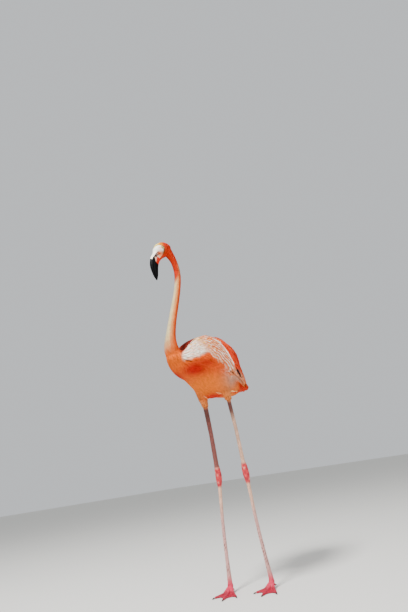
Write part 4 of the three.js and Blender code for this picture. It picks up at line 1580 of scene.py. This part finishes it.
def eased(lines, rounds):
    """The same lines with softer bends. Their ends stay."""
    lines = lines.copy()
    for _ in range(rounds):
        lines[:, 1:-1] = (lines[:, :-2] + 2 * lines[:, 1:-1] + lines[:, 2:]) / 4
    return lines


def drawn_trails(roots, goals, lengths):
    """Trails over the skin that head for a goal each."""
    spots, tops = trails(roots, lengths, LONG_MARKS, goals=goals)
    return eased(spots, 3), unit(eased(tops, 3))


def along_guide(guide, begins, ends, rounds):
    """Lines that follow a guide between two shares of it, their ways, and their shares."""
    guide = np.array(guide, float)
    reach = reach_along(guide)
    share = begins[:, None] + (ends - begins)[:, None] * np.array(LONG_MARKS)
    line = np.stack([np.interp(share * reach[-1], reach, guide[:, k]) for k in range(3)], 2)
    line = eased(line, rounds)
    return line, unit(np.gradient(line, axis=1)), share


def strand_trails(guide, begins, ends, beside):
    """Trails on the skin beside a guide line. beside is positive towards the tail."""
    line, way, _ = along_guide(guide, begins, ends, 2)
    spots, tops = onto_skin(line.reshape(-1, 3))
    side = np.cross(way.reshape(-1, 3), tops)
    side = unit(side * np.sign(side[:, 1:2] + 1e-9))
    shift = np.repeat(beside, len(LONG_MARKS))[:, None]
    spots, tops = (found.reshape(line.shape) for found in onto_skin(spots + side * shift))
    return eased(spots, 3), unit(eased(tops, 3))


def sheath_trails(spine, sizes, begins, ends, angles):
    """Trails round a spine. sizes are the half width and half height at even shares of it."""
    line, way, share = along_guide(spine, begins, ends, 3)
    lateral = unit(np.array([1.0, 0, 0]) - way * way[..., :1])
    upward = np.cross(lateral, way)
    steps = np.linspace(0, 1, len(sizes))
    width, height = (np.interp(share, steps, size)[..., None] for size in zip(*sizes))
    cos, sin = np.cos(angles)[:, None, None], np.sin(angles)[:, None, None]
    spots = line + lateral * width * cos + upward * height * sin
    return spots, unit(lateral * cos / width + upward * sin / height)


def laid(name, pattern, trail, widths, rises, tints, seed, slot, **look):
    """Lays one feather on each trail and dresses the piece. One width may serve for all."""
    spots, tops = trail
    made = lay(name, pattern, spots, tops, widths * np.ones(len(spots)), rises, tints, seed=seed,
               **look)
    return dress(made, BODY_PLUME)


def mixed_reds(rng, count, scarlet, coral):
    """Scarlet for the first share of the draws, coral up to the second, orange beyond."""
    pick = rng.random((count, 1))
    return np.where(pick < scarlet, SCARLET, np.where(pick < coral, CORAL, ORANGE))


print("a long vane has", len(LONG["faces"]), "faces")

# %% [markdown]
# Scapulars grow on the shoulder and fall back over the rear of the wing, each towards a place of
# its own, so they are drawn over the skin.

# %% Scapulars
def scapular_set(name, side, seed, count=40):
    """Long narrow feathers that hang from the back over the rear of the wing."""
    rng = np.random.default_rng(seed)
    share = 0.3 + 0.7 * (np.arange(count) + 0.5) / count
    x = 6 + 62 * share + rng.normal(0, 2, count)
    starts = np.stack([side * x, -40 + 20 * share + rng.uniform(-22, 22, count),
                       832 - 26 * share ** 2], 1)
    goals = np.stack([side * (10 + 76 * share + rng.normal(0, 3, count)), 152 - 76 * share,
                      664 - 10 * share], 1)
    lengths = rng.uniform(100, 150, count) * (1 - 0.12 * share)
    tints = mixed_reds(rng, count, 0.5, 0.8) * rng.uniform(0.88, 1.05, (count, 1))
    return laid(name, LONG, drawn_trails(starts, goals, lengths), rng.uniform(3.6, 5.6, count),
                rng.uniform(6.6, 8.8, count), tints, seed, "red_plumage", thick=0.6, camber=0.18,
                edge=(PEACH, np.full(count, 0.18)), wave=1.0)


print("scapulars are drawn towards the tail")

# %% [markdown]
# Tertials are the longest feathers of the folded wing. They lie in a sheaf beside the middle of
# the back, all round its spine, so that the sheaf is closed from every side.

# %% Tertials
TERTIAL_SPINE = [(22, -14, 818), (22, 8, 828), (26, 56, 808), (24, 98, 768), (20, 134, 722),
                 (16, 163, 688), (14, 176, 672)]
TERTIAL_SIZES = [(12, 4), (17, 6), (19, 8), (18, 8), (17, 8), (13, 6), (7, 4)]


def tertial_set(name, side, seed, count=60):
    """The sheaf of longest feathers beside the middle of the back."""
    rng = np.random.default_rng(seed)
    begins = rng.uniform(0.0, 0.5, count)
    ends = np.minimum(begins + rng.uniform(0.46, 0.6, count), 1.0)
    angles = rng.permutation(np.linspace(-35, 215, count)) + rng.uniform(-4, 4, count)
    trail = sheath_trails(mirrored(TERTIAL_SPINE, side), TERTIAL_SIZES, begins, ends,
                          np.radians(angles))
    tints = mixed_reds(rng, count, 0.55, 0.85)
    rises = rng.uniform(1.5, 4.5, count)
    return laid(name, BROAD, trail, 4.2, rises, tints * rng.uniform(0.85, 1.05, (count, 1)), seed,
                "red_plumage", thick=0.6, camber=0.1, edge=(PEACH, np.full(count, 0.2)), wave=0.8)


print("spine of the tertials", round(reach_along(np.array(TERTIAL_SPINE))[-1]), "mm long")

# %% [markdown]
# A band of loose strands runs down the rear edge of the wing: red ones, white ones inside them,
# and a few thin stray ones that stand off outside. All keep beside one guide line, so that they
# stay parallel like combed hair.

# %% Band along the rear edge of the wing
BAND_LINE = [(44, -96, 812), (56, -60, 811), (64, -15, 802), (75, 0, 777), (83, 13, 749),
             (94, 14, 715), (101, 15, 687), (105, 18, 664), (104, 25, 654)]
RED_STRANDS, WHITE_STRANDS, STRAY_STRANDS = 22, 9, 4


def band_set(name, side, seed):
    """Red strands on the rear edge, with white ones inside them and a few stray ones outside."""
    rng = np.random.default_rng(seed)
    counts = (RED_STRANDS, WHITE_STRANDS, STRAY_STRANDS)

    def draw(*spans):
        """Random values between two limits for the red, the white and the stray strands."""
        return np.concatenate([rng.uniform(*span, count) for span, count in zip(spans, counts)])

    begins = draw((0.02, 0.42), (0.1, 0.5), (0.3, 0.45))
    ends = np.minimum(begins + draw((0.42, 0.56), (0.25, 0.45), (0.26, 0.4)), 1.0)
    beside = draw((-4, 7), (-12, -5), (6, 11))
    widths = draw((2.4, 3.8), (1.6, 2.4), (0.8, 1.2))
    rises = draw((7.6, 9.6), (7.4, 9.0), (11, 15))
    reds = np.where(rng.random((RED_STRANDS, 1)) < 0.7, SCARLET * 1.12, CORAL * 1.05)
    pales = np.where(rng.random((WHITE_STRANDS, 1)) < 0.7, IVORY, BLUSH)
    tints = np.concatenate([reds, pales, np.tile(SCARLET * 1.1, (STRAY_STRANDS, 1))])
    trail = strand_trails(mirrored(BAND_LINE, side), begins, ends, beside)
    return laid(name, LONG, trail, widths, rises, tints, seed, "red_plumage", thick=0.5,
                camber=0.2, wave=0.8)


print("strands in each band", RED_STRANDS + WHITE_STRANDS + STRAY_STRANDS)

# %% [markdown]
# The flight feathers are black, the only black on the body. Folded, they lie hidden: a closed
# bundle beside the tail, and a few quills that reach out from under the band at the wing's corner.

# %% Black flight feathers
FEATHER_BLACK = colour(16, 12, 14)
PRIMARY_SPINE = [(44, 88, 722), (37, 120, 705), (27, 150, 688), (18, 176, 672), (15, 184, 668)]
PRIMARY_SIZES = [(7, 9), (6.5, 9.5), (5.5, 9), (4, 6), (2.5, 3)]
QUILL_LINE = [(92, -2, 712), (99, 12, 690), (104, 22, 664), (100, 38, 646), (92, 52, 636)]


def primary_set(name, side, seed, count=14):
    """Black flight feathers, mostly hidden, whose tips show above the tail."""
    rng = np.random.default_rng(seed)
    begins = rng.uniform(0, 0.2, count)
    angles = np.linspace(0, 2 * math.pi, count + 1)[:-1]
    trail = sheath_trails(mirrored(PRIMARY_SPINE, side), PRIMARY_SIZES, begins,
                          begins + rng.uniform(0.7, 0.8, count), angles)
    rises = rng.uniform(0.3, 1.2, count)
    return laid(name, BROAD, trail, 4.2, rises, FEATHER_BLACK * rng.uniform(0.8, 1.3, (count, 1)),
                seed, "black_feather", thick=0.6, camber=0.1)


def quill_set(name, side, seed, count=5):
    """A few black quills that reach out from under the strands at the wing's lower rear corner."""
    rng = np.random.default_rng(seed)
    begins = rng.uniform(0.2, 0.34, count)
    tints = FEATHER_BLACK * rng.uniform(0.8, 1.3, (count, 1))
    trail = strand_trails(mirrored(QUILL_LINE, side), begins, rng.uniform(0.6, 0.8, count),
                          rng.uniform(-1, 7, count))
    return laid(name, LONG, trail, 3.2, rng.uniform(8.6, 10.4, count), tints, seed,
                "black_feather", thick=0.5, camber=0.2)


print("black as linear light", FEATHER_BLACK.round(4).tolist())

# %% [markdown]
# The short tail is closed all round as well. Its feathers have worn pale rims and tips, which
# tell them apart where they overlap.

# %% Tail
TAIL_SPINE = [(0, 92, 688), (0, 106, 680), (0, 134, 664), (0, 162, 652), (0, 186, 645),
              (0, 198, 642)]
TAIL_SIZES = [(26, 26), (30, 30), (33, 25), (33, 18), (26, 9), (20, 5)]


def tail_set(name, seed, count=90):
    """Red feathers with pale rims all round the short tail."""
    rng = np.random.default_rng(seed)
    begins = rng.uniform(0.0, 0.45, count)
    angles = rng.permutation(np.linspace(0, 2 * math.pi, count + 1)[:-1])
    angles = angles + rng.uniform(-0.05, 0.05, count)
    ends = np.minimum(begins + rng.uniform(0.46, 0.6, count), 1.0)
    tints = np.where(rng.random((count, 1)) < 0.75, SCARLET, CORAL)
    tints = tints * rng.uniform(0.85, 1.1, (count, 1))
    rises = rng.uniform(1.5, 4.5, count)
    return laid(name, BROAD, sheath_trails(TAIL_SPINE, TAIL_SIZES, begins, ends, angles), 5.5,
                rises, tints, seed, "red_plumage", thick=0.6, camber=0.1, wave=0.8,
                edge=(CREAM, np.full(count, 0.3)), tip=(CREAM, rng.uniform(0.0, 0.9, count)))


print("tail", round(reach_along(np.array(TAIL_SPINE))[-1]), "mm long")

# %% [markdown]
# Where the belly turns under, a fringe of long pale feathers hangs over the red ones of the vent.
# Each starts on the edge and heads back and inwards.

# %% Fringe along the belly
FRINGE_LINE = [(30, -34, 622), (38, -22, 622), (43, -6, 623), (44, 12, 624), (42, 32, 626),
               (38, 54, 630), (32, 80, 636)]


def fringe_set(name, side, seed, count=110):
    """Pale feathers on the edge of the belly, with red ones under them."""
    rng = np.random.default_rng(seed)
    line = np.array(mirrored(FRINGE_LINE, side), float)
    place = rng.uniform(0, len(line) - 1, count)
    starts = np.stack([np.interp(place, np.arange(len(line)), line[:, k]) for k in range(3)], 1)
    red = rng.random(count) < 0.35
    inward = np.where(red, rng.uniform(5, 10, count), rng.uniform(0, 4, count))
    starts[:, 0] -= side * inward
    goals = starts + np.array([-side * 6.0, 60, -10])
    pale = np.where(rng.random((count, 1)) < 0.5, CREAM, PEACH)
    trail = drawn_trails(starts, goals, rng.uniform(20, 34, count))
    return laid(name, LONG, trail, rng.uniform(1.2, 2.0, count), rng.uniform(5.0, 7.0, count),
                np.where(red[:, None], SCARLET, pale), seed, "plumage", thick=0.6, camber=0.18,
                wave=0.8)


print("fringe runs", round(reach_along(np.array(FRINGE_LINE))[-1]), "mm along the belly")

# %% [markdown]
# Both sides are laid with the same seeds, so they are near mirrors of each other, as a bird's
# sides are. Each fan of long feathers stands for the solid that it is laid round.

# %% Laying the long feathers
fan_pieces = {}
for fan_side, sign in [("right", -1), ("left", 1)]:
    fan_pieces[f"tertials_{fan_side}"] = tertial_set(f"plumes_tertials_{fan_side}", sign, 31)
    fan_pieces[f"primaries_{fan_side}"] = primary_set(f"plumes_primaries_{fan_side}", sign, 33)
    scapular_set(f"plumes_scapulars_{fan_side}", sign, 39)
    band_set(f"plumes_band_{fan_side}", sign, 41)
    quill_set(f"plumes_quills_{fan_side}", sign, 43)
    fringe_set(f"plumes_fringe_{fan_side}", sign, 45)
fan_pieces["tail"] = tail_set("plumes_tail", 35)
for fan, piece in fan_pieces.items():
    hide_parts(fan)
print("fans", len(fan_pieces))
